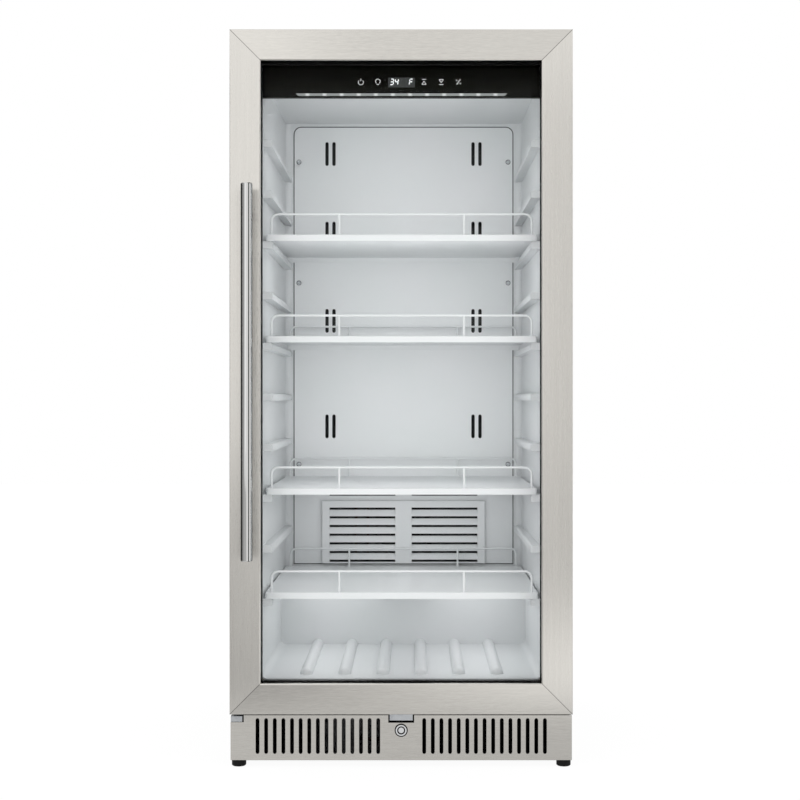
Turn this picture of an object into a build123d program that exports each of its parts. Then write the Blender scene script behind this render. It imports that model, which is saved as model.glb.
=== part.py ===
from build123d import *
import os

os.makedirs("parts", exist_ok=True)

# Tall glass-door beverage fridge.  X to the right, Y to the back, Z up, millimetres.
# The origin lies on the floor under the middle of the whole outline, handle included.

# ---- Overall sizes
door_width = 595.0
door_height = 1187.9
door_thickness = 42.0
door_gap = 8.0                # gasket space between door and cabinet
cabinet_depth = 560.0
side_reveal = 1.0             # cabinet side stands inside the door edge
top_reveal = 4.0              # cabinet top stands below the door top
foot_height = 11.0
kick_height = 78.0
kick_floor_gap = 0.5          # kick plate above the pan's underside
kick_door_gap = 3.3           # kick plate to door underside
handle_reach = 50.0

# ---- Sheets, walls and clearances
cabinet_sheet = 1.0
pan_sheet = 1.5
kick_sheet = 1.2
liner_wall = 2.5
insulation = 35.0
seat_gap = 0.3                # between pieces of different bodies at rest
running_gap = 0.05            # shaft in bore, on the radius
small_fit = 0.1               # loose fit inside one body
tube_flats = 8                # flats round a bent wire, a pipe or a slot's ends
pin_flats = 16                # flats round a hidden pin, mount or screw

# ---- Liner
liner_side = 48.5             # liner's mouth inside the door edge
liner_draft = 3.0             # each side closes in by this much towards the back
liner_sill = 52.7             # liner floor above the door's underside
liner_headroom = 66.7         # liner ceiling below the door's top
rear_space = 105.0            # cabinet depth behind the liner's rear wall
corner_radius = 12.0
step_depth = 95.0             # compressor step, measured from the rear wall
step_height = 135.5
ledge_width = 17.0
ledge_height = 12.9
ledge_setback = 37.0
ledge_round = 4.5
ledge_count = 9               # evenly spaced ledges above the lowest one
ledge_headroom = 109.5        # top ledge below the ceiling
low_ledge_rise = 0.5          # lowest ledge above the compressor step
low_ledge_pitch = 95.8        # lowest ledge to the next one
rib_count = 6
rib_margin = 77.5             # middle of the outer rib from the liner's side
rib_width = 23.0
rib_height = 10.5

# ---- Control hood under the ceiling
hood_setback = 7.0
hood_depth = 55.0
hood_drop = 40.0              # hood below the liner's ceiling
hood_rise = 32.0              # hood above the liner's ceiling
hood_wall = 3.5
hood_lip = 10.0               # level part of the underside, under the light
hood_tilt = 16.0              # the underside rises by this much behind the lip
hood_side_gap = 1.0
hood_round = 1.5
fascia_rise = 14.0            # heights above the hood's lower edge
fascia_thickness = 2.5
display_half_width = 23.8
display_rise = 18.0
display_height = 17.5
board_half_width = 112.0
board_height = 25.5
board_thickness = 1.6
lens_inset = 61.5             # lens end inside the liner's mouth
lens_rise = 3.0
lens_height = 4.5
led_count = 12
led_margin = 20.85            # outer emitter inside the lens end
led_side = 2.5
led_height = 2.0

# ---- Rear duct panel, its grille and the evaporator behind
panel_side = 18.7             # panel edge inside the liner's rear corner
panel_rise = 16.5             # panel above the compressor step
panel_drop = 8.0              # panel below the liner's ceiling
panel_thickness = 2.5
panel_radius = 14.5
panel_gap = 2.0
shoulder = 17.0               # liner shoulder that the panel rests on
pocket_depth = 52.0
duct_slot_width = 7.0
duct_slot_height = 50.0
duct_slot_offsets = (145.0, 159.5)
duct_slot_drops = (30.0, 196.0, 378.0, 598.0)   # slot tops below the panel's top
air_slot_height = 5.0
air_slot_rise = 143.5         # heights above the panel's lower edge
screw_inset = 9.3
screw_drops = (72.0, 324.0, 702.0)              # screws below the panel's top
screw_head_radius = 5.0
screw_head_height = 2.2
screw_radius = 2.0
grille_half_width = 170.0
grille_height = 131.1
grille_proud = 8.0
grille_round = 2.0
louvre_inner = 17.0
louvre_outer = 154.0
louvre_rows = 7
louvre_pitch = 18.05
louvre_slot = 5.0
louvre_rise = 6.0
coil_side_gap = 34.3          # coil end inside the liner pocket
coil_rise = 172.5
coil_height = 228.0
coil_thickness = 40.0
coil_fin = 1.0
coil_reach = 4.0              # fins stand out from the tube bundle
coil_tube_radius = 4.0
evaporator_fins = 25
evaporator_runs = 6
condenser_fins = 19
condenser_runs = 4
fan_size = 116.0
fan_depth = 25.0
fan_rim = 4.0
fan_blades = 5
fan_blade_gap = 2.0
fan_blade_pitch = 55.0
fan_blade_sheet = 1.5
fan_hub_share = 0.18
fan_strut = 6.0
fan_motor_depth = 9.0
fan_shaft_radius = 2.0
fan_rise = 64.5

# ---- Machine space under and behind the liner
condenser_width = 236.0
condenser_depth = 120.0
condenser_height = 84.0
condenser_setback = 5.0
condenser_side_gap = 16.0
condenser_fan_size = 84.0
compressor_radius = 68.0
compressor_height = 172.0
compressor_shoulder = 22.0    # size of the sloping shoulders above and below
compressor_bevel = 6.5
compressor_seam_z = 95.0
compressor_seam_height = 5.0
compressor_seam_proud = 3.0
terminal_width = 56.0
terminal_height = 60.0
terminal_proud = 26.0
compressor_x = 40.0
mount_spacing_x = 170.0
mount_spacing_y = 96.0
mount_height = 14.0
mount_radius = 12.0
mount_neck_radius = 8.0
mount_lip_radius = 9.5
mount_lip_height = 2.5
mount_pin_radius = 3.0
compressor_plate = 3.0
pipe_radius = 3.2
pipe_bend = 10.0
port_offset = 30.0            # pipe stubs from the compressor's centre
pipe_rise = (16.0, 26.0)      # suction and discharge lines above the shell
pipe_side = -30.0             # where the discharge line comes down
suction_x = -100.0
liquid_x = -75.0
drier_radius = 11.0
drier_length = 90.0
drier_bottom = 60.0
drier_taper = 5.0
drain_inset = 106.5           # drain's middle inside the cabinet's left side
drain_radius = 8.0
drain_wall = 1.5
gland_inset = 46.5            # gland's middle inside the cabinet's left side
gland_z = 60.0
gland_radius = 8.0
gland_flange = 3.0
gland_bore = 3.5
gland_length = 12.0
gland_chamfer = 1.2
cover_slot = 5.0
cover_slot_length = 148.0
cover_slot_places = (-89.0, 148.0)
cover_rows = 9
cover_pitch = 18.0
cover_edge = 27.0             # top slot row below the cover's top
tray_width = 160.0
tray_depth = 120.0
tray_height = 34.0
tray_wall = 1.5
tray_corner = 10.0

# ---- Kick plate, lock and bracket
kick_setback = 10.0
vent_count = 15               # slots on each side of the lock
vent_first = 40.0             # innermost slot from the middle
vent_margin = 47.5            # outermost slot inside the door edge
vent_width = 6.7
vent_rise = 10.6              # slots above the plate's lower edge
vent_drop = 4.9               # slots below the plate's upper edge
kick_return = 10.0
kick_side_gap = 0.5           # plate end inside the door edge
lock_drop = 25.9              # lock's middle below the plate's upper edge
bezel_radius = 11.4
barrel_radius = 9.5
barrel_length = 15.0
plug_radius = 6.3
bezel_height = 2.5
bezel_chamfer = 0.8
plug_recess = 0.8             # plug face behind the bezel face
key_width = 1.6
key_height = 7.5
key_depth = 5.0
cam_thickness = 2.0
cam_length = 24.0
cam_width = 11.0
cam_hub_radius = 7.5
keeper_half_width = 20.0
keeper_drop = 12.8
keeper_depth = 20.0
keeper_sheet = 2.0
notch_margin = 2.5            # keeper and bracket notches beyond what stands in them
notch_depth = 13.0
bracket_width = 20.0
bracket_height = 9.5
bracket_sheet = 2.5

# ---- Feet
foot_radius = 12.5
foot_inset_x = 14.0           # from the door edge to the foot centre
foot_front = 22.0             # behind the door front
foot_rear = 25.0              # ahead of the cabinet back
foot_chamfer = 1.5
foot_stud_radius = 4.0
foot_stud_length = 26.0
foot_boss_radius = 9.0
foot_boss_height = 12.0

# ---- Door
frame_width = 54.0
trim_sheet = 1.2
trim_return = 30.0
trim_lip = 6.0
trim_lip_round = 2.8
mitre_gap = 0.2
glass_thickness = 4.0
glass_edge = 8.5              # glass hidden behind the trim lip
spacer_depth = 12.0
spacer_reveal = 1.2           # dark edge seen inside the trim lip, sides
spacer_reveal_bottom = 2.4
spacer_reveal_top = 4.0
inner_frame_edge = 2.5        # inner frame opening stands outside the window edge
inner_frame_round = 1.5
gasket_width = 18.0
gasket_inset = 26.5           # gasket's outer edge from the door edge
gasket_inset_top = 10.5
gasket_base = 2.5
gasket_bulb = 13.0

# ---- Hinges, on the right-hand side
hinge_inset = 12.5            # axis from the door's side edge
hinge_depth = 21.0            # axis behind the door front
hinge_leaf = 3.0
hinge_half_width = 9.0
hinge_pin_radius = 4.0
hinge_pin_length = 14.0
hinge_recess = 6.0
hinge_recess_wall = 5.0
hinge_recess_reach = 14.0
hinge_leaf_gap = 1.0
hinge_plate_height = 36.0

# ---- Handle
handle_radius = 10.0
handle_length = 645.0
handle_bottom = 363.0
handle_inset = 34.2
handle_chamfer = 1.5
post_radius = 6.0
post_inset = 50.0
spigot_radius = 4.0
spigot_length = 6.0

# ---- Shelves
shelf_bearing = 10.5          # shelf edge beyond the ledge's inner face
low_shelf_bearing = 12.5
shelf_setback = 33.0
shelf_rear_gap = 15.0
shelf_flange = 11.5
shelf_sheet = 1.5
shelf_corner = 4.0
shelf_edge_round = 1.2
shelf_ledges = (7, 5, 2, 0)   # ledge that carries each shelf, top shelf first
fence_spread = 3.5            # fence end beyond the ledge's inner face
fence_height = 39.0
fence_wire = 2.0
fence_corner = 12.5
fence_post_x = 113.0
fence_inset = 5.0

# ---- Places worked out from the sizes above
half_door = door_width / 2
half_cabinet = half_door - side_reveal
door_bottom = foot_height + kick_floor_gap + kick_height + kick_door_gap
door_top = door_bottom + door_height
cabinet_top = door_top - top_reveal
overall_depth = handle_reach + door_thickness + door_gap + cabinet_depth + gland_flange
door_front = handle_reach - overall_depth / 2
door_back = door_front + door_thickness
cabinet_front = door_back + door_gap
cabinet_back = cabinet_front + cabinet_depth
kick_front = door_front + kick_setback
kick_back = kick_front + kick_sheet
kick_bottom = foot_height + kick_floor_gap
kick_top = kick_bottom + kick_height
vent_bottom = kick_bottom + vent_rise
vent_top = kick_top - vent_drop
vent_pitch = (half_door - vent_margin - vent_first) / (vent_count - 1)
lock_z = kick_top - lock_drop
pan_top = foot_height + pan_sheet
mouth_half_width = half_door - liner_side
rear_half_width = mouth_half_width - liner_draft
liner_floor = door_bottom + liner_sill
liner_ceiling = door_top - liner_headroom
liner_back = cabinet_back - rear_space
step_front = liner_back - step_depth
step_top = liner_floor + step_height
tunnel_top = liner_floor - liner_wall - insulation
room_top = step_top - liner_wall - insulation
room_front = step_front + liner_wall + insulation
ledge_face = mouth_half_width - ledge_width
rib_pitch = 2 * (mouth_half_width - rib_margin) / (rib_count - 1)
hood_front = cabinet_front + hood_setback
hood_back = hood_front + hood_depth
hood_bottom = liner_ceiling - hood_drop
hood_top = liner_ceiling + hood_rise
fascia_bottom = hood_bottom + fascia_rise
display_bottom = hood_bottom + display_rise
lens_bottom = hood_bottom + lens_rise
lens_half_width = mouth_half_width - lens_inset
led_pitch = 2 * (lens_half_width - led_margin) / (led_count - 1)
panel_back = liner_back + panel_thickness
panel_half_width = rear_half_width - panel_side
panel_bottom = step_top + panel_rise
panel_top = liner_ceiling - panel_drop
screw_x = panel_half_width - screw_inset
grille_top = panel_bottom + grille_height
coil_bottom = panel_bottom + coil_rise
fan_centre_z = panel_bottom + fan_rise
pocket_back = panel_back + pocket_depth
pocket_half = panel_half_width + panel_gap - shoulder
pocket_bottom = panel_bottom - panel_gap + shoulder / 3
pocket_top = panel_top + panel_gap - shoulder
coil_half_width = pocket_half - coil_side_gap
window_half = half_door - frame_width
window_bottom = door_bottom + frame_width
window_top = door_top - frame_width
hinge_x = half_door - hinge_inset
hinge_y = door_front + hinge_depth
foot_x = half_door - foot_inset_x
foot_front_y = door_front + foot_front
foot_rear_y = cabinet_back - foot_rear
compressor_y = (room_front + cabinet_back) / 2
compressor_top = pan_top + mount_height + compressor_height
condenser_front = cabinet_front + condenser_setback
drain_x = drain_inset - half_cabinet
gland_x = gland_inset - half_cabinet
tray_front = compressor_y - tray_depth / 2
glass_back = door_front + trim_lip + 2 * glass_thickness + spacer_depth
handle_x = handle_inset - half_door
handle_y = door_front - handle_reach + handle_radius
shelf_front = cabinet_front + shelf_setback
shelf_depth = liner_back - shelf_rear_gap - shelf_front
first_ledge = step_top + low_ledge_rise + low_ledge_pitch
ledge_pitch = (liner_ceiling - ledge_headroom - first_ledge) / (ledge_count - 1)
ledge_tops = [step_top + low_ledge_rise] + [first_ledge + i * ledge_pitch for i in range(ledge_count)]


# ---- Shared forms
def block(x, y, z):
    """Box between (low, high) limits on each axis."""
    middle = [(limits[0] + limits[1]) / 2 for limits in (x, y, z)]
    size = [limits[1] - limits[0] for limits in (x, y, z)]
    return Pos(*middle) * Box(*size)


def rod(radius, length, start, direction=(0, 0, 1)):
    """Cylinder that starts at a point and runs along a direction."""
    place = Plane(origin=start, z_dir=direction)
    return place * Cylinder(radius, length, align=(Align.CENTER, Align.CENTER, Align.MIN))


def flat_rod(radius, length, start, flats, direction=(0, 0, 1)):
    """Pin with flats that starts at a point and runs along a direction."""
    return extrude(Plane(origin=start, z_dir=direction) * RegularPolygon(radius, flats), length)


def front_prism(sketch, y_low, y_high):
    """Prism of a sketch drawn in (x, z), from y_low back to y_high."""
    plane = Plane(origin=(0, y_low, 0), x_dir=(1, 0, 0), z_dir=(0, -1, 0))
    return extrude(plane * sketch, -(y_high - y_low))


def side_prism(sketch, x_low, x_high):
    """Prism of a sketch drawn in (y, z), from x_low to x_high."""
    plane = Plane(origin=(x_low, 0, 0), x_dir=(0, 1, 0), z_dir=(1, 0, 0))
    return extrude(plane * sketch, x_high - x_low)


def outline(*points):
    """Closed face through straight-line corners."""
    return make_face(Polyline(*points, close=True))


def wire_rod(points, corner, radius):
    """Round wire bent along a line of points with one corner radius."""
    path = FilletPolyline(*points, radius=corner)
    return sweep(Plane(origin=path @ 0, z_dir=path % 0) * RegularPolygon(radius, tube_flats), path=path)


def upright_slot(height, width):
    """Upright slot with rounded ends."""
    end = (height - width) / 2
    slot = Rectangle(width, 2 * end)
    for z in (-end, end):
        slot += Pos(0, z) * RegularPolygon(width / 2, tube_flats)
    return slot


def tapered_prism(front_half, rear_half, y, z, corner):
    """Prism that narrows towards the back, with rounded rear corners."""
    face = outline((-front_half, y[0]), (front_half, y[0]), (rear_half, y[1]), (-rear_half, y[1]))
    face = fillet(face.vertices().sort_by(Axis.Y)[-2:], corner)
    return Pos(0, 0, z[0]) * extrude(face, z[1] - z[0])


def both_sides(shape):
    """The shape and its mirror image across the middle plane."""
    return shape + mirror(shape, Plane.YZ)


def save(node, shape):
    """Write one node."""
    export_step(shape, f"parts/{node}.step")


def panel_outline(margin):
    """Duct panel seen from the front, grown by a margin: round above, square below."""
    half = panel_half_width + margin
    face = outline(
        (-half, panel_bottom - margin),
        (half, panel_bottom - margin),
        (half, panel_top + margin),
        (-half, panel_top + margin),
    )
    return fillet(face.vertices().group_by(Axis.Y)[-1], panel_radius + margin)


# ---- Cabinet shell
def liner_volume(wall):
    """The liner's hollow (wall 0) or its outside (wall liner_wall), up to its mouth."""
    main = tapered_prism(
        mouth_half_width + wall,
        rear_half_width + wall,
        (cabinet_front, liner_back + wall),
        (liner_floor - wall, liner_ceiling + wall),
        corner_radius + wall,
    )
    floor_edges = main.faces().sort_by(Axis.Z)[0].edges().sort_by(Axis.Y)[1:]
    main = fillet(floor_edges, corner_radius + wall)
    step = block(
        (-half_door, half_door),
        (step_front + wall, liner_back + 2 * corner_radius),
        (liner_floor - corner_radius, step_top - wall),
    )
    hood = block(
        (-mouth_half_width - wall, mouth_half_width + wall),
        (cabinet_front, hood_back + wall),
        (liner_ceiling, hood_top + wall),
    )
    rebate = front_prism(panel_outline(panel_gap + wall), liner_back - 1, panel_back + wall)
    pocket = block(
        (-pocket_half - wall, pocket_half + wall),
        (liner_back - 1, pocket_back + wall),
        (pocket_bottom - wall, pocket_top + wall),
    )
    return main - step + hood + rebate + pocket


def side_ledge(top):
    """One moulded ledge on the right wall, rounded along its upper inner edge."""
    face = outline(
        (ledge_face, top),
        (ledge_face, top - ledge_height),
        (mouth_half_width + liner_wall / 2, top - ledge_height),
        (mouth_half_width + liner_wall / 2, top),
    )
    corner = face.vertices().sort_by(Axis.X)[:2].sort_by(Axis.Y)[-1]
    ledge = front_prism(fillet(corner, ledge_round), cabinet_front + ledge_setback, liner_back)
    return ledge & liner_volume(liner_wall)


def floor_rib(x):
    """Half-round rib on the floor of the lower bin, with a domed front end."""
    arc = ThreePointArc((-rib_width / 2, 0), (0, rib_height), (rib_width / 2, 0))
    section = make_face([arc, Line((rib_width / 2, 0), (-rib_width / 2, 0))])
    nose = cabinet_front + ledge_setback + rib_width / 2
    run = Pos(x, 0, liner_floor) * front_prism(section, nose, step_front + liner_wall / 2)
    quarter = section & Pos(rib_width / 2, rib_height / 2) * Rectangle(rib_width, rib_height)
    dome = revolve(Plane.XZ * quarter, Axis.Z, 360)
    return run + Pos(x, nose, liner_floor) * dome


def riser_holes(low, high):
    """Vertical holes for the two refrigerant risers and the drain."""
    risers = ((suction_x, pipe_radius), (liquid_x, pipe_radius), (drain_x, drain_radius))
    return Compound([rod(r + small_fit, high - low, (x, compressor_y, low)) for x, r in risers])


def screw_heights():
    """Heights of the duct panel screws."""
    return [panel_top - drop for drop in screw_drops]


def screw_holes(radius):
    """Holes for the six duct panel screws through panel and liner shoulder."""
    return Compound([
        rod(radius, panel_thickness + liner_wall + 2, (x, liner_back - 1, z), (0, 1, 0))
        for x in (-screw_x, screw_x)
        for z in screw_heights()
    ])


def inner_liner():
    """Vacuum-formed liner: hollow, ledges, floor ribs, compressor step and evaporator pocket."""
    liner = liner_volume(liner_wall) - liner_volume(0)
    for top in ledge_tops:
        liner += both_sides(side_ledge(top))
    for i in range(rib_count):
        liner += floor_rib((i - (rib_count - 1) / 2) * rib_pitch)
    liner -= riser_holes(room_top, pocket_bottom + 1)
    return liner - screw_holes(screw_radius + small_fit)


def outer_cabinet():
    """Folded steel wrapper: top, sides, front flanges and lower cross rail."""
    y = (cabinet_front, cabinet_back - cabinet_sheet)
    shell = block((-half_cabinet, half_cabinet), y, (pan_top, cabinet_top))
    shell -= block(
        (cabinet_sheet - half_cabinet, half_cabinet - cabinet_sheet),
        (cabinet_front + cabinet_sheet, cabinet_back),
        (pan_top - 1, cabinet_top - cabinet_sheet),
    )
    shell -= block(
        (-mouth_half_width - liner_wall, mouth_half_width + liner_wall),
        (cabinet_front - 1, cabinet_front + 2 * cabinet_sheet),
        (liner_floor - liner_wall, hood_top + liner_wall),
    )
    return shell - block(
        (cabinet_sheet - half_cabinet, half_cabinet - cabinet_sheet),
        (cabinet_front - 1, cabinet_front + 2 * cabinet_sheet),
        (pan_top - 1, kick_top),
    )


def machine_divider():
    """Stepped sheet that closes the insulation above the machine space."""
    inside = half_cabinet - cabinet_sheet
    x = (-inside, inside)
    low = block(x, (cabinet_front + cabinet_sheet, room_front), (tunnel_top - cabinet_sheet, tunnel_top))
    riser = block(x, (room_front, room_front + cabinet_sheet), (tunnel_top - cabinet_sheet, room_top))
    high = block(x, (room_front, cabinet_back - cabinet_sheet), (room_top - cabinet_sheet, room_top))
    return low + riser + high - riser_holes(room_top - 2, room_top + 1)


def insulation_foam():
    """Foam between wrapper, divider and liner."""
    inside = half_cabinet - cabinet_sheet
    y = (cabinet_front + cabinet_sheet, cabinet_back - cabinet_sheet)
    foam = block((-inside, inside), y, (tunnel_top, cabinet_top - cabinet_sheet))
    foam -= block((-half_door, half_door), (room_front, cabinet_back), (tunnel_top - 1, room_top))
    foam -= liner_volume(liner_wall)
    return foam - riser_holes(room_top - 1, pocket_bottom)


def back_panel():
    """Rear sheet above the machine space."""
    y = (cabinet_back - cabinet_sheet, cabinet_back)
    return block((-half_cabinet, half_cabinet), y, (room_top, cabinet_top))


def base_pan():
    """Base tray: floor, front lip, cheeks beside the kick plate, bosses and compressor studs."""
    pan = block((-half_cabinet, half_cabinet), (kick_back, cabinet_back), (foot_height, pan_top))
    side = (half_cabinet - pan_sheet, half_cabinet)
    cheek = block(side, (kick_back, cabinet_front), (pan_top, kick_top - pan_sheet))
    lip = block((0, half_cabinet), (kick_back, kick_back + pan_sheet), (pan_top, vent_bottom - pan_sheet))
    pan += both_sides(cheek) + both_sides(lip)
    for x, y in foot_places():
        pan += rod(foot_boss_radius, foot_boss_height, (x, y, pan_top))
        pan -= rod(foot_stud_radius + running_gap, 2 * foot_stud_length, (x, y, 0))
    for x, y in mount_places():
        pan += rod(mount_pin_radius, mount_height + mount_lip_height, (x, y, pan_top))
    return pan


def foot_places():
    """Foot centres: front left, front right, rear left, rear right."""
    return [(x, y) for y in (foot_front_y, foot_rear_y) for x in (-foot_x, foot_x)]


def mount_places():
    """Centres of the four compressor mounts."""
    return [
        (compressor_x + i * mount_spacing_x / 2, compressor_y + j * mount_spacing_y / 2)
        for i in (-1, 1)
        for j in (-1, 1)
    ]


def levelling_foot(x, y):
    """Round foot with a chamfered lower edge and a stud into the pan's boss."""
    pad = rod(foot_radius, foot_height - seat_gap, (x, y, 0))
    pad = chamfer(pad.edges().group_by(Axis.Z)[0], foot_chamfer)
    return pad + rod(foot_stud_radius, foot_stud_length, (x, y, foot_height - 1))


# ---- Kick plate, brackets and lock
def kick_plate():
    """Folded plate with its vent slots, lock hole, keeper notch and bracket notch."""
    half = half_door - kick_side_gap
    plate = block((-half, half), (kick_front, kick_back), (kick_bottom, kick_top))
    plate += block(
        (-half_cabinet, half_cabinet),
        (kick_back, kick_front + kick_return),
        (kick_top - kick_sheet, kick_top),
    )
    slot = upright_slot(vent_top - vent_bottom, vent_width)
    middle = (vent_top + vent_bottom) / 2
    vents = Sketch() + [
        Pos(side * (vent_first + i * vent_pitch), middle) * slot
        for side in (-1, 1)
        for i in range(vent_count)
    ]
    plate -= front_prism(vents, kick_front - 1, kick_back + 1)
    plate -= rod(barrel_radius + small_fit, 4 * kick_sheet, (0, kick_front - 1, lock_z), (0, 1, 0))
    reach = (kick_front - 1, kick_front + kick_return + 1)
    notch = keeper_half_width + notch_margin
    plate -= block((-notch, notch), reach, (kick_top - notch_depth, kick_top + 1))
    side = (-half_door, bracket_width + notch_margin - half_cabinet)
    return plate - block(side, reach, (kick_top - bracket_height - notch_margin, kick_top + 1))


def left_bracket():
    """Corner bracket under the door on the handle side."""
    x = (-half_cabinet + pan_sheet, -half_cabinet + bracket_width)
    top = kick_top - pan_sheet
    front = block((-half_cabinet, x[1]), (kick_front - 1, kick_back), (top - bracket_height, top))
    shelf = block(x, (kick_back, cabinet_front), (top - bracket_sheet, top))
    upright = block(x, (cabinet_front - bracket_sheet, cabinet_front), (top, top + hinge_plate_height))
    return front + shelf + upright


def hinge(leaf_low, towards):
    """Hinge: leaf in the door's recess, plate on the cabinet front, pin along +Z or -Z."""
    x = (hinge_x - hinge_half_width, hinge_x + hinge_half_width)
    z = (leaf_low, leaf_low + hinge_leaf)
    leaf = block(x, (hinge_y, cabinet_front), z)
    leaf += rod(hinge_half_width, hinge_leaf, (hinge_x, hinge_y, leaf_low))
    root = z[1] if towards < 0 else z[0]
    plate_z = sorted((root, root + towards * hinge_plate_height))
    leaf += block(x, (cabinet_front - hinge_leaf, cabinet_front), plate_z)
    pin_start = leaf_low if towards < 0 else leaf_low + hinge_leaf
    return leaf + rod(hinge_pin_radius, hinge_pin_length, (hinge_x, hinge_y, pin_start), (0, 0, towards))


def lock_body():
    """Lock barrel with its bezel, bored for the plug."""
    bezel = rod(bezel_radius, bezel_height, (0, kick_front - bezel_height, lock_z), (0, 1, 0))
    bezel = chamfer(bezel.edges().group_by(Axis.Y)[0], bezel_chamfer)
    body = bezel + rod(barrel_radius, barrel_length, (0, kick_front, lock_z), (0, 1, 0))
    start = (0, kick_front - barrel_length, lock_z)
    return body - rod(plug_radius + running_gap, 3 * barrel_length, start, (0, 1, 0))


def lock_plug():
    """Plug with its keyway in front and a square tail for the cam."""
    front = kick_front - bezel_height + plug_recess
    back = kick_front + barrel_length + seat_gap
    plug = rod(plug_radius, back - front, (0, front, lock_z), (0, 1, 0))
    key = Pos(0, lock_z) * Rectangle(key_width, key_height)
    plug -= front_prism(key, front - 1, front + key_depth)
    tail = Pos(0, lock_z) * Rectangle(plug_radius, plug_radius)
    return plug + front_prism(tail, back - 1, back + 2 * cam_thickness)


def lock_cam():
    """Cam arm on the plug's tail, pointing left while the door is unlocked."""
    low = kick_front + barrel_length + seat_gap
    disc = Pos(0, lock_z) * Circle(cam_hub_radius)
    arm = Pos(-cam_length / 2, lock_z) * Rectangle(cam_length, cam_width)
    tail = Pos(0, lock_z) * Rectangle(plug_radius + small_fit, plug_radius + small_fit)
    return front_prism(disc + arm - tail, low, low + cam_thickness)


def lock_keeper():
    """Inverted channel under the door that the raised cam stands in."""
    low = kick_front + 2
    x = (-keeper_half_width, keeper_half_width)
    z = (door_bottom - keeper_drop, door_bottom)
    channel = block(x, (low, low + keeper_depth), z)
    hollow = block(
        (-half_door, half_door),
        (low + keeper_sheet, low + keeper_depth - keeper_sheet),
        (0, door_bottom - keeper_sheet),
    )
    return channel - hollow


# ---- Control hood and light
def control_housing():
    """Moulded hood: hollow from above, with fascia recess, display window and lens slot."""
    half = mouth_half_width - hood_side_gap
    lip = hood_front + hood_lip
    hood = side_prism(
        outline(
            (hood_front, hood_top),
            (hood_front, hood_bottom),
            (lip, hood_bottom),
            (hood_back, hood_bottom + hood_tilt),
            (hood_back, hood_top),
        ),
        -half,
        half,
    )
    front_edges = hood.edges().filter_by(Axis.X).group_by(Axis.Z)[0]
    hood = fillet(front_edges.sort_by(Axis.Y)[0], hood_round)
    inside_front = hood_front + fascia_thickness + hood_wall
    hood -= side_prism(
        outline(
            (inside_front, hood_top + 1),
            (inside_front, lens_bottom),
            (lip, lens_bottom),
            (hood_back - hood_wall, lens_bottom + hood_tilt),
            (hood_back - hood_wall, hood_top + 1),
        ),
        hood_wall - half,
        half - hood_wall,
    )
    hood -= fascia_plate()
    window = Pos(0, display_bottom + display_height / 2) * Rectangle(2 * display_half_width, display_height)
    through = (hood_front - 1, hood_front + fascia_thickness + 2 * hood_wall)
    return hood - front_prism(window, *through) - front_prism(lens_outline(), *through)


def fascia_plate():
    """Limits of the touch fascia."""
    half = mouth_half_width - hood_side_gap - hood_wall
    return block((-half, half), (hood_front, hood_front + fascia_thickness), (fascia_bottom, hood_top))


def lens_outline():
    """Light lens seen from the front, with slanted ends."""
    return Pos(0, lens_bottom + lens_height / 2) * outline(
        (-lens_half_width, lens_height / 2),
        (lens_half_width, lens_height / 2),
        (lens_half_width - lens_height, -lens_height / 2),
        (lens_height - lens_half_width, -lens_height / 2),
    )


def display_module():
    """Display block in the hood's window, on its circuit board."""
    low = hood_front + fascia_thickness
    middle = display_bottom + display_height / 2
    face = Pos(0, middle) * Rectangle(2 * (display_half_width - small_fit), display_height - 2 * small_fit)
    board = Pos(0, middle) * Rectangle(2 * board_half_width, board_height)
    return front_prism(face, low, low + hood_wall) + front_prism(
        board, low + hood_wall, low + hood_wall + board_thickness
    )


def led_strip():
    """Light board lying in the hood with its row of emitters behind the lens."""
    low = hood_front + fascia_thickness + hood_wall
    board = block(
        (-lens_half_width, lens_half_width),
        (low + led_height, low + led_height + board_thickness),
        (lens_bottom, lens_bottom + 2 * lens_height),
    )
    z = (lens_bottom + lens_height / 2 - led_side / 2, lens_bottom + lens_height / 2 + led_side / 2)
    for i in range(led_count):
        x = (i - (led_count - 1) / 2) * led_pitch
        board += block((x - led_side, x + led_side), (low + seat_gap, low + led_height), z)
    return board


# ---- Air duct, grille, evaporator and fans
def rear_duct_panel():
    """Panel over the evaporator with its air slots and the cut-out behind the grille."""
    panel = front_prism(panel_outline(0), liner_back, panel_back)
    slot = upright_slot(duct_slot_height, duct_slot_width)
    slots = Sketch() + [
        Pos(side * x, panel_top - drop - duct_slot_height / 2) * slot
        for side in (-1, 1)
        for x in duct_slot_offsets
        for drop in duct_slot_drops
    ]
    long_slot = Rectangle(louvre_outer - louvre_inner, air_slot_height)
    for side in (-1, 1):
        slots += Pos(side * (louvre_inner + louvre_outer) / 2, panel_bottom + air_slot_rise) * long_slot
    low, high = louvre_limits()
    slots += Pos(0, (low + high) / 2) * Rectangle(2 * louvre_outer, high - low)
    return panel - front_prism(slots, liner_back - 1, panel_back + 1) - screw_holes(screw_radius + small_fit)


def louvre_limits():
    """Lowest and highest edge of the louvre windows."""
    low = panel_bottom + louvre_rise - louvre_slot / 2
    return low, low + (louvre_rows - 1) * louvre_pitch + louvre_slot


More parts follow.
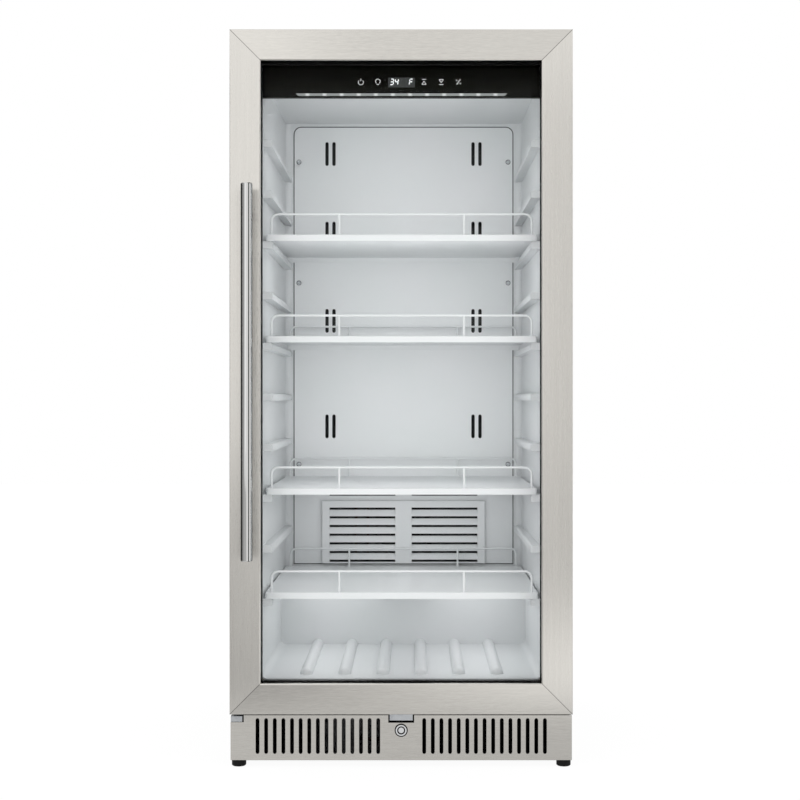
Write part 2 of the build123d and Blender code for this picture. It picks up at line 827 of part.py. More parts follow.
def evaporator_grille():
    """Raised grille plate: a shallow shell with two windows of tilted louvre blades."""
    front = liner_back - grille_proud
    wall = panel_thickness
    plate = block((-grille_half_width, grille_half_width), (front, liner_back), (panel_bottom, grille_top))
    front_edges = plate.faces().sort_by(Axis.Y)[0].edges()
    plate = fillet(front_edges, grille_round)
    plate -= block(
        (wall - grille_half_width, grille_half_width - wall),
        (front + wall, liner_back + 1),
        (panel_bottom + wall, grille_top - wall),
    )
    low, high = louvre_limits()
    window = block((louvre_inner, louvre_outer), (front - 1, front + 2 * wall), (low, high))
    plate -= both_sides(window)
    for i in range(louvre_rows - 1):
        bottom = low + louvre_slot + i * louvre_pitch
        top = low + (i + 1) * louvre_pitch
        blade = outline(
            (front, bottom),
            (front, bottom + wall),
            (front + grille_proud - wall, top),
            (front + grille_proud, top),
            (front + grille_proud, top - wall),
            (front + wall, bottom),
        )
        plate += both_sides(side_prism(blade, louvre_inner - 1, louvre_outer + 1))
    return plate


def panel_screws():
    """Six pan-head screws that hold the duct panel to the liner's shoulder."""
    screws = []
    for x in (-screw_x, screw_x):
        for z in screw_heights():
            seat = (x, liner_back, z)
            head = flat_rod(screw_head_radius, screw_head_height, seat, pin_flats, (0, -1, 0))
            length = panel_thickness + liner_wall
            screws.append(head + flat_rod(screw_radius, length, seat, tube_flats, (0, 1, 0)))
    return Compound(screws)


def return_bend(x, y, z, spacing, radius, side):
    """Half ring of tube from height z to z + spacing, bulging along x on one side."""
    section = Plane(origin=(x, y, z), z_dir=(side, 0, 0)) * RegularPolygon(radius, tube_flats)
    return revolve(section, Axis((x, y, z + spacing / 2), (0, 1, 0)), -180 * side)


def finned_coil(x, y, z, fins, runs):
    """Fin pack between end plates with the return bends of its tube at both ends."""
    bundle = [(limits[0] + coil_reach, limits[1] - coil_reach) for limits in (y, z)]
    core = block(x, *bundle)
    pitch = (x[1] - x[0] - coil_fin) / (fins - 1)
    for i in range(fins):
        low = x[0] + i * pitch
        core += block((low, low + coil_fin), y, z)
    spacing = (z[1] - z[0]) / runs
    middle = (y[0] + y[1]) / 2
    for i in range(runs - 1):
        side = 1 if i % 2 == 0 else -1
        end = x[1] if side > 0 else x[0]
        core += return_bend(end, middle, z[0] + (i + 0.5) * spacing, spacing, coil_tube_radius, side)
    return core


def evaporator_coil():
    """Finned coil standing against the back of the liner pocket."""
    return finned_coil(
        (-coil_half_width, coil_half_width),
        (pocket_back - coil_thickness, pocket_back),
        (coil_bottom, coil_bottom + coil_height),
        evaporator_fins,
        evaporator_runs,
    )


def condenser_coil():
    """Finned condenser standing on the pan behind the right-hand vents."""
    return finned_coil(
        (condenser_side_gap, condenser_side_gap + condenser_width),
        (condenser_front, condenser_front + condenser_depth),
        (pan_top, pan_top + condenser_height),
        condenser_fins,
        condenser_runs,
    )


def fan_shroud(x, y, z, size):
    """Square fan housing, bored for the blades, with struts and motor behind."""
    housing = block((x - size / 2, x + size / 2), (y, y + fan_depth), (z - size / 2, z + size / 2))
    housing -= rod(size / 2 - fan_rim, 2 * fan_depth, (x, y - 1, z), (0, 1, 0))
    hub = size * fan_hub_share
    back = y + fan_depth
    for angle in (45, 135):
        strut = Pos(x, z) * Rot(0, 0, angle) * Rectangle(size, fan_strut)
        housing += front_prism(strut, back - fan_strut / 2, back)
    housing += rod(hub, fan_motor_depth + fan_strut / 2, (x, back - fan_strut / 2, z), (0, 1, 0))
    shaft = y + 3 * fan_blade_gap
    return housing + rod(fan_shaft_radius, back - fan_strut / 2 - shaft, (x, shaft, z), (0, 1, 0))


def fan_rotor(x, y, z, size):
    """Hub bored for the shaft with pitched blades."""
    hub = size * fan_hub_share
    depth = fan_depth - fan_strut - 2 * fan_blade_gap
    low = y + fan_blade_gap
    ring = rod(size / 2 - fan_rim - fan_blade_gap, depth, (x, low, z), (0, 1, 0))
    ring -= rod(hub - 1, depth, (x, low, z), (0, 1, 0))
    rotor = rod(hub, depth, (x, low, z), (0, 1, 0))
    for i in range(fan_blades):
        blade = Rot(fan_blade_pitch, 0, 0) * Box(size / 2, 2 * depth, fan_blade_sheet)
        turn = Pos(x, low + depth / 2, z) * Rot(0, i * 360 / fan_blades, 0)
        rotor += (turn * Pos(size / 4, 0, 0) * blade) & ring
    return rotor - rod(fan_shaft_radius + running_gap, 2 * depth, (x, low + fan_blade_gap, z), (0, 1, 0))


def fan_places():
    """Centre and size of the evaporator fan and of the condenser fan."""
    behind_condenser = condenser_front + condenser_depth
    middle = pan_top + condenser_fan_size / 2
    return {
        "evaporator": (0.0, panel_back, fan_centre_z, fan_size),
        "condenser": (condenser_side_gap + condenser_width / 2, behind_condenser, middle, condenser_fan_size),
    }


# ---- Machine space
def compressor():
    """Hermetic shell with its seam, terminal cover and mounting plate."""
    base = pan_top + mount_height
    radius = compressor_radius
    high = compressor_height
    shoulder_radius = radius - compressor_shoulder
    half = outline(
        (0, 0),
        (shoulder_radius, 0),
        (radius, compressor_shoulder),
        (radius, high - compressor_shoulder),
        (shoulder_radius, high),
        (0, high),
    )
    shoulders = half.vertices().sort_by(Axis.X)[-4:]
    half = chamfer(shoulders, compressor_bevel)
    shell = Pos(compressor_x, compressor_y, base) * revolve(Plane.XZ * half, Axis.Z, 360)
    seam = Pos(compressor_x, compressor_y, base + compressor_seam_z)
    shell += seam * Cylinder(radius + compressor_seam_proud, compressor_seam_height)
    reach_x = mount_spacing_x / 2 + mount_radius
    reach_y = mount_spacing_y / 2 + mount_radius
    plate = block(
        (compressor_x - reach_x, compressor_x + reach_x),
        (compressor_y - reach_y, compressor_y + reach_y),
        (base - compressor_plate, base),
    )
    for x, y in mount_places():
        plate -= rod(mount_neck_radius + small_fit, 2 * mount_height, (x, y, pan_top))
    cover = block(
        (compressor_x - radius - terminal_proud, compressor_x - shoulder_radius),
        (compressor_y - terminal_width / 2, compressor_y + terminal_width / 2),
        (base + compressor_shoulder, base + compressor_shoulder + terminal_height),
    )
    return shell + plate + cover


def compressor_mounts():
    """Four rubber mounts: a foot under the plate and a neck and lip through it."""
    mounts = []
    plate_low = pan_top + mount_height - compressor_plate
    for x, y in mount_places():
        foot = flat_rod(mount_radius, mount_height - compressor_plate, (x, y, pan_top), pin_flats)
        neck = flat_rod(mount_neck_radius, compressor_plate, (x, y, plate_low), pin_flats)
        lip = flat_rod(mount_lip_radius, mount_lip_height, (x, y, plate_low + compressor_plate), pin_flats)
        mounts.append(foot + neck + lip - rod(mount_pin_radius + small_fit, 3 * mount_height, (x, y, 0)))
    return Compound(mounts)


def refrigerant_pipes():
    """Suction, discharge and the two stretches of liquid line as bent tubes."""
    low_rise, high_rise = (compressor_top + rise for rise in pipe_rise)
    spacing = condenser_height / condenser_runs
    coil_y = condenser_front + condenser_depth / 2
    inlet = pan_top + condenser_height - spacing / 2
    outlet = pan_top + spacing / 2
    down_y = room_front + cabinet_sheet + 3 * pipe_radius
    suction = wire_rod(
        [
            (compressor_x - port_offset, compressor_y, compressor_top),
            (compressor_x - port_offset, compressor_y, low_rise),
            (suction_x, compressor_y, low_rise),
            (suction_x, compressor_y, coil_bottom),
        ],
        pipe_bend,
        pipe_radius,
    )
    discharge = wire_rod(
        [
            (compressor_x + port_offset, compressor_y, compressor_top),
            (compressor_x + port_offset, compressor_y, high_rise),
            (pipe_side, compressor_y, high_rise),
            (pipe_side, down_y, high_rise),
            (pipe_side, down_y, inlet),
            (pipe_side, coil_y, inlet),
            (condenser_side_gap, coil_y, inlet),
        ],
        pipe_bend,
        pipe_radius,
    )
    liquid = wire_rod(
        [
            (liquid_x, compressor_y, drier_bottom),
            (liquid_x, compressor_y, outlet),
            (liquid_x, coil_y, outlet),
            (condenser_side_gap, coil_y, outlet),
        ],
        pipe_bend,
        pipe_radius,
    )
    drier_top = drier_bottom + drier_length
    riser = flat_rod(pipe_radius, coil_bottom - drier_top, (liquid_x, compressor_y, drier_top), tube_flats)
    return Compound([suction, discharge, liquid, riser])


def filter_drier():
    """Drier bottle standing in the liquid line."""
    bottle = flat_rod(drier_radius, drier_length, (liquid_x, compressor_y, drier_bottom), pin_flats)
    ends = bottle.edges().group_by(Axis.Z)
    return chamfer(ends[0] + ends[-1], drier_taper)


def drain_tube():
    """Tube that leads defrost water from the pocket's floor into the tray."""
    low = pan_top + tray_height - 2 * drain_radius
    length = pocket_bottom - low
    tube = rod(drain_radius, length, (drain_x, compressor_y, low))
    return tube - rod(drain_radius - drain_wall, length + 2, (drain_x, compressor_y, low - 1))


def drain_pan():
    """Open tray for defrost water."""
    x = (drain_x - tray_width / 2, drain_x + tray_width / 2)
    y = (tray_front, tray_front + tray_depth)
    tray = block(x, y, (pan_top, pan_top + tray_height))
    tray = fillet(tray.edges().filter_by(Axis.Z), tray_corner)
    hollow = block(
        (x[0] + tray_wall, x[1] - tray_wall),
        (y[0] + tray_wall, y[1] - tray_wall),
        (pan_top + tray_wall, pan_top + tray_height + 1),
    )
    return tray - fillet(hollow.edges().filter_by(Axis.Z), tray_corner - tray_wall)


def machine_cover():
    """Rear cover of the machine space with its rows of air slots and the cord hole."""
    y = (cabinet_back - cabinet_sheet, cabinet_back)
    cover = block((-half_cabinet, half_cabinet), y, (pan_top, room_top))
    slots = Sketch() + [
        Pos(x, room_top - cover_edge - i * cover_pitch) * Rectangle(cover_slot_length, cover_slot)
        for x in cover_slot_places
        for i in range(cover_rows)
    ]
    cover -= front_prism(slots, y[0] - 1, y[1] + 1)
    return cover - rod(gland_radius + small_fit, 3 * gland_flange, (gland_x, y[0] - 1, gland_z), (0, 1, 0))


def cord_gland():
    """Bored bush in the machine cover where the power cord leaves."""
    start = cabinet_back - gland_length
    neck = rod(gland_radius, gland_length, (gland_x, start, gland_z), (0, 1, 0))
    flange = rod(gland_radius + gland_flange, gland_flange, (gland_x, cabinet_back, gland_z), (0, 1, 0))
    flange = chamfer(flange.edges().group_by(Axis.Y)[-1], gland_chamfer)
    return neck + flange - rod(gland_bore, 2 * gland_length, (gland_x, start - 1, gland_z), (0, 1, 0))


# ---- Door
def trim_profile():
    """Section of the folded trim: u from the door edge to the window, v into the door."""
    face = outline(
        (0, trim_return),
        (0, 0),
        (frame_width, 0),
        (frame_width, trim_lip),
        (frame_width - trim_sheet, trim_lip),
        (frame_width - trim_sheet, trim_sheet),
        (trim_sheet, trim_sheet),
        (trim_sheet, trim_return),
    )
    front = face.vertices().group_by(Axis.Y)[0].sort_by(Axis.X)
    face = fillet(front[0], trim_sheet)
    front = face.vertices().group_by(Axis.Y)[0].sort_by(Axis.X)
    return fillet(front[-1], trim_lip_round)


def mitred(bar, corners):
    """Trim bar cut to its trapezoid seen from the front."""
    return bar & front_prism(outline(*corners), door_front - 1, door_front + trim_return + 1)


def stile():
    """Left-hand stile."""
    bar = Pos(-half_door, door_front, door_bottom) * extrude(trim_profile(), door_height)
    inner = frame_width - half_door
    return mitred(bar, [
        (-half_door, door_bottom + mitre_gap),
        (inner, window_bottom + mitre_gap),
        (inner, window_top - mitre_gap),
        (-half_door, door_top - mitre_gap),
    ])


def rail():
    """Bottom rail."""
    bar = Pos(half_door, door_front, door_bottom) * Rot(0, -90, 0) * extrude(trim_profile(), door_width)
    return mitred(bar, [
        (-half_door, door_bottom),
        (half_door, door_bottom),
        (window_half, window_bottom),
        (-window_half, window_bottom),
    ])


def hinge_recesses():
    """Spaces in the door's right-hand corners that the hinge leaves turn in, with pin bores."""
    x = (hinge_x - hinge_recess_reach, half_door + 1)
    y = (door_front + hinge_recess_wall, door_back + 1)
    low = block(x, y, (door_bottom - 1, door_bottom + hinge_recess))
    high = block(x, y, (door_top - hinge_recess, door_top + 1))
    bore = hinge_pin_length + hinge_leaf + hinge_leaf_gap + 1
    radius = hinge_pin_radius + running_gap
    low += rod(radius, bore, (hinge_x, hinge_y, door_bottom))
    return low + high + rod(radius, bore, (hinge_x, hinge_y, door_top), (0, 0, -1))


def ring(outer, inner, y):
    """Rectangular ring; outer and inner are (x half width, z low, z high)."""
    low, high = (block((-x, x), span, (z0, z1)) for x, z0, z1, span in (
        (*outer, y),
        (*inner, (y[0] - 1, y[1] + 1)),
    ))
    return low - high


def window_limits(margin, bottom=None, top=None):
    """Limits that stand outside the window edge by a margin on each side."""
    bottom = margin if bottom is None else bottom
    top = margin if top is None else top
    return window_half + margin, window_bottom - bottom, window_top + top


def door_limits(inset, top=None):
    """Limits that stand inside the door edge by an inset on each side."""
    top = inset if top is None else top
    return half_door - inset, door_bottom + inset, door_top - top


def door_core():
    """Door frame core behind the trim, stepped for the trim lip and the glass unit."""
    lip = (door_front + trim_sheet, door_front + trim_lip)
    seat = (door_front + trim_lip, glass_back)
    core = ring(door_limits(trim_sheet), window_limits(trim_sheet), lip)
    core += ring(door_limits(trim_sheet), window_limits(glass_edge + small_fit), seat)
    return core - hinge_recesses()


def door_inner_frame():
    """Moulded frame that closes the back of the door and holds the glass unit."""
    opening = window_limits(inner_frame_edge)
    frame = ring(door_limits(trim_sheet), opening, (glass_back, door_front + trim_return))
    frame += ring(door_limits(0), opening, (door_front + trim_return, door_back))
    back_edges = frame.faces().sort_by(Axis.Y)[-1].outer_wire().edges()
    return fillet(back_edges, inner_frame_round) - hinge_recesses()


def glass_pane(y):
    """One pane of the glass unit."""
    x, bottom, top = window_limits(glass_edge)
    return block((-x, x), (y, y + glass_thickness), (bottom, top))


def glass_spacer():
    """Dark spacer between the panes."""
    low = door_front + trim_lip + glass_thickness
    inner = window_limits(-spacer_reveal, -spacer_reveal_bottom, -spacer_reveal_top)
    return ring(window_limits(glass_edge), inner, (low, low + spacer_depth))


def door_gasket():
    """Gasket: flat base on the inner frame and a softer bulb towards the cabinet."""
    base = ring(
        door_limits(gasket_inset, gasket_inset_top),
        door_limits(gasket_inset + gasket_width, gasket_inset_top + gasket_width),
        (door_back, door_back + gasket_base),
    )
    side = (gasket_width - gasket_bulb) / 2
    bulb = ring(
        door_limits(gasket_inset + side, gasket_inset_top + side),
        door_limits(gasket_inset + side + gasket_bulb, gasket_inset_top + side + gasket_bulb),
        (door_back + gasket_base, cabinet_front - seat_gap),
    )
    return base + bulb


def post_heights():
    """Centres of the two handle posts."""
    return handle_bottom + post_inset, handle_bottom + handle_length - post_inset


def handle_bar():
    """Round bar, chamfered at its ends and bored at the back for the posts."""
    bar = rod(handle_radius, handle_length, (handle_x, handle_y, handle_bottom))
    bar = chamfer(bar.edges().filter_by(GeomType.CIRCLE), handle_chamfer)
    for z in post_heights():
        depth = handle_radius - spigot_length - small_fit
        bar -= rod(spigot_radius + small_fit, handle_radius, (handle_x, handle_y + depth, z), (0, 1, 0))
    return bar


def handle_posts():
    """Two posts, saddled to the bar, each with a spigot in the bar's bore."""
    posts = []
    for z in post_heights():
        post = rod(post_radius, door_front - handle_y, (handle_x, handle_y, z), (0, 1, 0))
        post -= rod(handle_radius, 4 * post_radius, (handle_x, handle_y, z - 2 * post_radius))
        spigot_y = handle_y + handle_radius - spigot_length
        posts.append(post + rod(spigot_radius, 2 * spigot_length, (handle_x, spigot_y, z), (0, 1, 0)))
    return Compound(posts)


# ---- Shelves
def shelf_panel(half, bottom):
    """Folded shelf: flat top with a flange all round, open underneath."""
    top = bottom + shelf_flange
    y = (shelf_front, shelf_front + shelf_depth)
    panel = block((-half, half), y, (bottom, top))
    panel = fillet(panel.edges().filter_by(Axis.Z), shelf_corner)
    panel = chamfer(panel.faces().sort_by(Axis.Z)[-1].edges(), shelf_edge_round)
    hollow = block(
        (shelf_sheet - half, half - shelf_sheet),
        (y[0] + shelf_sheet, y[1] - shelf_sheet),
        (bottom - 1, top - shelf_sheet),
    )
    return panel - fillet(hollow.edges().filter_by(Axis.Z), shelf_corner - shelf_sheet)


def shelf_fence(top):
    """Front and rear guard wires with their middle posts, standing on the shelf."""
    half = ledge_face + fence_spread - fence_wire
    high = top + fence_height - fence_wire
    inset = fence_inset + fence_wire
    fences = []
    for y in (shelf_front + inset, shelf_front + shelf_depth - inset):
        corners = [(-half, y, top), (-half, y, high), (half, y, high), (half, y, top)]
        fence = wire_rod(corners, fence_corner, fence_wire)
        for x in (-fence_post_x, fence_post_x):
            fence += flat_rod(fence_wire, high - top, (x, y, top), tube_flats)
        fences.append(fence)
    return Compound(fences)


# ---- Write every node
save("outer_cabinet", outer_cabinet())
save("machine_divider", machine_divider())
save("insulation_foam", insulation_foam())
save("inner_liner", inner_liner())
save("back_panel", back_panel())
save("base_pan", base_pan())
save("kick_plate", kick_plate())
save("left_bracket", left_bracket())
save("hinge_top", hinge(door_top - hinge_leaf_gap - hinge_leaf, -1))
save("hinge_bottom", hinge(door_bottom + hinge_leaf_gap, 1))
save("lock_body", lock_body())
save("lock_plug", lock_plug())
save("lock_cam", lock_cam())
save("lock_keeper", lock_keeper())
for name, place in zip(("front_left", "front_right", "rear_left", "rear_right"), foot_places()):
    save(f"foot_{name}", levelling_foot(*place))

save("control_housing", control_housing())
save("control_panel", fascia_plate())
save("display_module", display_module())
save("led_strip", led_strip())
save("led_lens", front_prism(lens_outline(), hood_front, hood_front + fascia_thickness + hood_wall))

save("rear_duct_panel", rear_duct_panel())
save("evaporator_grille", evaporator_grille())
save("panel_screws", panel_screws())
save("evaporator_coil", evaporator_coil())
for name, place in fan_places().items():
    save(f"{name}_fan_shroud", fan_shroud(*place))
    save(f"{name}_fan_rotor", fan_rotor(*place))

save("compressor", compressor())
save("compressor_mounts", compressor_mounts())
save("condenser_coil", condenser_coil())
save("refrigerant_pipes", refrigerant_pipes())
save("filter_drier", filter_drier())
save("drain_tube", drain_tube())
save("drain_pan", drain_pan())
save("machine_cover", machine_cover())
save("cord_gland", cord_gland())

save("door_core", door_core())
save("door_inner_frame", door_inner_frame())
save("left_stile", stile())
save("right_stile", mirror(stile(), Plane.YZ) - hinge_recesses())
save("bottom_rail", rail() - hinge_recesses())
save("top_rail", mirror(rail(), Plane.XY.offset((door_bottom + door_top) / 2)) - hinge_recesses())
save("outer_glass", glass_pane(door_front + trim_lip))
save("inner_glass", glass_pane(glass_back - glass_thickness))
save("glass_spacer", glass_spacer())
save("door_gasket", door_gasket())
save("handle_bar", handle_bar())
save("handle_posts", handle_posts())

for number, ledge in enumerate(shelf_ledges, start=1):
    bearing = shelf_bearing if ledge else low_shelf_bearing
    bottom = ledge_tops[ledge] + seat_gap
    save(f"shelf_{number}", shelf_panel(ledge_face + bearing, bottom))
    save(f"shelf_{number}_fence", shelf_fence(bottom + shelf_flange))
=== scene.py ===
import math

import bmesh
import bpy
from mathutils import Matrix, Vector


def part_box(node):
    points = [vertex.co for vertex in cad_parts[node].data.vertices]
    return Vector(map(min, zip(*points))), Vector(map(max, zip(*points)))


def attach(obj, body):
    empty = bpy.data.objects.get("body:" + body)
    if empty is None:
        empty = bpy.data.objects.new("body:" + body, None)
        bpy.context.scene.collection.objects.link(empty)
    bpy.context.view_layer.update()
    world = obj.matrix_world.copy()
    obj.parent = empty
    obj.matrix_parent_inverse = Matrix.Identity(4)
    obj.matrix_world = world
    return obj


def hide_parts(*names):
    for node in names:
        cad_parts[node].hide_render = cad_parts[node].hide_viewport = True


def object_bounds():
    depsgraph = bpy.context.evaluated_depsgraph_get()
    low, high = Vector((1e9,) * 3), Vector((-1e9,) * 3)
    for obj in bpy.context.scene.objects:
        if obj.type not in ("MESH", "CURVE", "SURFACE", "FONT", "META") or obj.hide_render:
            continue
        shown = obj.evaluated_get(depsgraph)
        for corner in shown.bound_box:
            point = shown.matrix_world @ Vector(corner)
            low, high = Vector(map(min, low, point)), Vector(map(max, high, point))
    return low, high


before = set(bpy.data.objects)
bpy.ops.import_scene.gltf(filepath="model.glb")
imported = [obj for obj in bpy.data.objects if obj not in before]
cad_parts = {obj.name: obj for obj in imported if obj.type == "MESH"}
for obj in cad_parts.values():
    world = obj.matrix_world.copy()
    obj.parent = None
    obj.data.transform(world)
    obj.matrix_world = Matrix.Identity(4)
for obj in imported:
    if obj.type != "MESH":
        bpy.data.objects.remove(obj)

cad_low, cad_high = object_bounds()

# ---- Studio
# A pale seamless floor and a white surround, lit by soft panels in front, above and to the left.
# Glossy surfaces alone see a graded floor and the upright cards that stand for the room's sides.
scene = bpy.context.scene
scene.view_settings.view_transform = "Standard"
camera = bpy.data.objects.new("camera", bpy.data.cameras.new("camera"))
scene.collection.objects.link(camera)
camera_side = 0.024
camera_distance = 2.43
camera_height = 0.638
camera.data.sensor_width = 36.0
camera.data.lens = 64.4
camera.data.shift_x = -0.01875
camera.data.clip_end = 60.0
camera.location = (camera_side, cad_low.y - camera_distance, camera_height)
camera.rotation_euler = (math.radians(90), 0, 0)
scene.camera = camera


def add_node(tree, kind, feeds=None, **settings):
    """Add a node, set its properties and feed its inputs from values or sockets."""
    made = tree.nodes.new(kind)
    for key, value in settings.items():
        setattr(made, key, value)
    for key, value in (feeds or {}).items():
        if isinstance(value, bpy.types.NodeSocket):
            tree.links.new(value, made.inputs[key])
        else:
            made.inputs[key].default_value = value
    return made


def calc(tree, operation, *values, **settings):
    """Result of one sum on values or sockets."""
    feeds = dict(enumerate(values))
    return add_node(tree, "ShaderNodeMath", feeds, operation=operation, **settings).outputs[0]


def ramp(tree, value, start=0.0, end=1.0, low=0.0, high=1.0):
    """Value that goes from low to high while another goes from start to end."""
    return add_node(tree, "ShaderNodeMapRange", {
        "Value": value, "From Min": start, "From Max": end, "To Min": low, "To Max": high,
    }).outputs[0]


def between(tree, factor, low, high):
    """Value between two others by a factor."""
    return add_node(tree, "ShaderNodeMix", {0: factor, 2: low, 3: high}).outputs[0]


def soft_panel(name, place, aim, size, radiance, spread=180):
    """Rectangular soft lamp whose face has the given radiance, over a cone of so many degrees."""
    lamp = bpy.data.lights.new(name, "AREA")
    lamp.shape = "RECTANGLE"
    lamp.size, lamp.size_y = size
    lamp.energy = radiance * math.pi * size[0] * size[1]
    lamp.spread = math.radians(spread)
    made = bpy.data.objects.new(name, lamp)
    made.location = place
    made.rotation_euler = (Vector(aim) - Vector(place)).to_track_quat("-Z", "Y").to_euler()
    made.visible_camera = False
    scene.collection.objects.link(made)


panels_front = -4.3
soft_panel("panel_high_left", (-0.98, panels_front, 2.35), (-0.3, 0, 1.0), (1.1, 1.3), 0.28)
soft_panel("panel_high_right", (0.85, panels_front, 2.35), (0.2, 0, 1.0), (1.3, 1.3), 0.03)
soft_panel("panel_mid_left", (-0.85, panels_front, 1.05), (-0.2, 0, 0.7), (1.3, 1.3), 0.26)
soft_panel("panel_left", (-2.9, -1.7, 1.3), (0, 0, 0.7), (1.6, 2.4), 0.15)
soft_panel("panel_top", (0, -0.6, 4.0), (0, 0, 0), (3.5, 3.5), 0.1)


def stage_sheet(name, corners):
    """Flat stage object with an empty material; returns the object and its material's tree."""
    mesh = bpy.data.meshes.new(name)
    mesh.from_pydata(corners, [], [(0, 1, 2, 3)])
    made = bpy.data.objects.new(name, mesh)
    scene.collection.objects.link(made)
    paint = bpy.data.materials.new(f"{name}_paint")
    paint.use_nodes = True
    paint.node_tree.nodes.clear()
    mesh.materials.append(paint)
    return made, paint.node_tree


def mirror_card(name, start, end, level):
    """Upright card between two floor points that only glossy surfaces see, glowing at a level."""
    low, high = 0.1, 1.45
    made, tree = stage_sheet(name, [(*start, low), (*end, low), (*end, high), (*start, high)])
    face = add_node(tree, "ShaderNodeEmission", {"Strength": level})
    add_node(tree, "ShaderNodeOutputMaterial", {"Surface": face.outputs[0]})
    made.visible_camera = made.visible_diffuse = made.visible_shadow = made.visible_transmission = False


mirror_card("card_left", (-1.26, 0.68), (-1.26, -0.54), 0.05)
mirror_card("card_front_left", (-1.26, -0.58), (-1.00, -1.24), 0.45)
mirror_card("card_right", (0.72, -1.50), (1.05, -1.07), 0.01)


def background_rays(tree):
    """1 for camera, glossy and transmission rays, which see the white background; 0 for the rest."""
    ray = add_node(tree, "ShaderNodeLightPath").outputs
    first = calc(tree, "MAXIMUM", ray["Is Camera Ray"], ray["Is Glossy Ray"])
    return calc(tree, "MAXIMUM", first, ray["Is Transmission Ray"])


surround = bpy.data.worlds.new("surround")
scene.world = surround
surround.use_nodes = True
sky = surround.node_tree
sky.nodes.clear()
level = ramp(sky, background_rays(sky), low=0.8)
glow = add_node(sky, "ShaderNodeBackground", {"Color": (1, 1, 1, 1), "Strength": level})
add_node(sky, "ShaderNodeOutputWorld", {"Surface": glow.outputs[0]})

reach = 8
corners = [(-reach, -reach, 0), (reach, -reach, 0), (reach, reach, 0), (-reach, reach, 0)]
floor, tree = stage_sheet("floor", corners)
matt = add_node(tree, "ShaderNodeBsdfDiffuse", {"Color": (0.8, 0.8, 0.8, 1)})
spot = add_node(tree, "ShaderNodeTexCoord").outputs["Object"]
across, along, _ = add_node(tree, "ShaderNodeSeparateXYZ", {0: spot}).outputs
# Glossy rays see the floor at levels that change from left to right and with the way to the door
far = ramp(tree, across, -0.5, 0.35, 0.57, 1.02)
ahead = ramp(tree, across, -0.3, 0.3, 0.50, 1.26)
near = ramp(tree, across, -0.3, 0.3, 0.80, 0.72)
open_floor = between(tree, ramp(tree, along, -2.2, -1.4), far, ahead)
level = between(tree, ramp(tree, along, -0.95, -0.65), open_floor, near)
ray = add_node(tree, "ShaderNodeLightPath").outputs
mirrored = calc(tree, "SUBTRACT", ray["Is Glossy Ray"], ray["Is Transmission Ray"], use_clamp=True)
strength = between(tree, mirrored, 1.06, level)
white = add_node(tree, "ShaderNodeEmission", {"Color": (1, 1, 1, 1), "Strength": strength})
share = calc(tree, "MULTIPLY", background_rays(tree), 0.9)
both = add_node(tree, "ShaderNodeMixShader", {0: share, 1: matt.outputs[0], 2: white.outputs[0]})
add_node(tree, "ShaderNodeOutputMaterial", {"Surface": both.outputs[0]})

# ---- Base pan, levelling feet and kick plate bracket
# The pan is folded steel in satin black paint.  Four black moulded feet screw up into its bosses,
# and a zinc-coated bracket stands on its left front corner.


def new_group(name, inputs, outputs):
    """Start a shader node group with named inputs (name: default) and named value outputs."""
    group = bpy.data.node_groups.new(name, "ShaderNodeTree")
    for label, value in inputs.items():
        kind = "NodeSocketVector" if isinstance(value, tuple) else "NodeSocketFloat"
        socket = group.interface.new_socket(label, in_out="INPUT", socket_type=kind)
        if not isinstance(value, tuple):
            socket.default_value = value
    for label in outputs:
        group.interface.new_socket(label, in_out="OUTPUT", socket_type="NodeSocketFloat")
    source = group.nodes.new("NodeGroupInput")
    sink = group.nodes.new("NodeGroupOutput")
    return group, source.outputs, sink.inputs


# mottle: slow cloudy change of tone, from 0 to 1
mottle, given, result = new_group("mottle", {"Vector": (0, 0, 0), "Scale": 6.0, "Softness": 0.5}, ["Tone"])
clouds = add_node(mottle, "ShaderNodeTexNoise", {
    "Vector": given["Vector"], "Scale": given["Scale"], "Detail": 4.0, "Roughness": given["Softness"],
})
mottle.links.new(ramp(mottle, clouds.outputs["Fac"], 0.3, 0.7), result["Tone"])

# skin: the fine dimples of a sprayed or moulded surface, as a height
skin, given, result = new_group("skin", {"Vector": (0, 0, 0), "Scale": 900.0, "Pits": 0.4}, ["Height"])
grain = add_node(skin, "ShaderNodeTexNoise", {
    "Vector": given["Vector"], "Scale": given["Scale"], "Detail": 2.0, "Roughness": 0.55,
})
cells = add_node(skin, "ShaderNodeTexVoronoi", {"Vector": given["Vector"], "Scale": given["Scale"]})
deep = calc(skin, "MULTIPLY", cells.outputs["Distance"], given["Pits"])
skin.links.new(calc(skin, "ADD", grain.outputs["Fac"], deep), result["Height"])


def new_finish(name, **constants):
    """Start a material: its tree, its Principled shader with constant inputs, and its coordinates."""
    material = bpy.data.materials.new(name)
    material.use_nodes = True
    tree = material.node_tree
    shader = tree.nodes["Principled BSDF"]
    for label, value in constants.items():
        shader.inputs[label.replace("_", " ")].default_value = value
    place = add_node(tree, "ShaderNodeTexCoord").outputs["Object"]
    return material, tree, shader, place


def put_group(tree, group, feeds):
    """Place a node group in a tree and return its outputs."""
    made = tree.nodes.new("ShaderNodeGroup")
    made.node_tree = group
    for label, value in feeds.items():
        if isinstance(value, bpy.types.NodeSocket):
            tree.links.new(value, made.inputs[label])
        else:
            made.inputs[label].default_value = value
    return made.outputs


def blend(tree, factor, low, high):
    """Colour that runs from low to high with a factor socket; low may be a socket too."""
    under = low if isinstance(low, bpy.types.NodeSocket) else (*low, 1)
    return add_node(tree, "ShaderNodeMix", {0: factor, 6: under, 7: (*high, 1)}, data_type="RGBA").outputs[2]


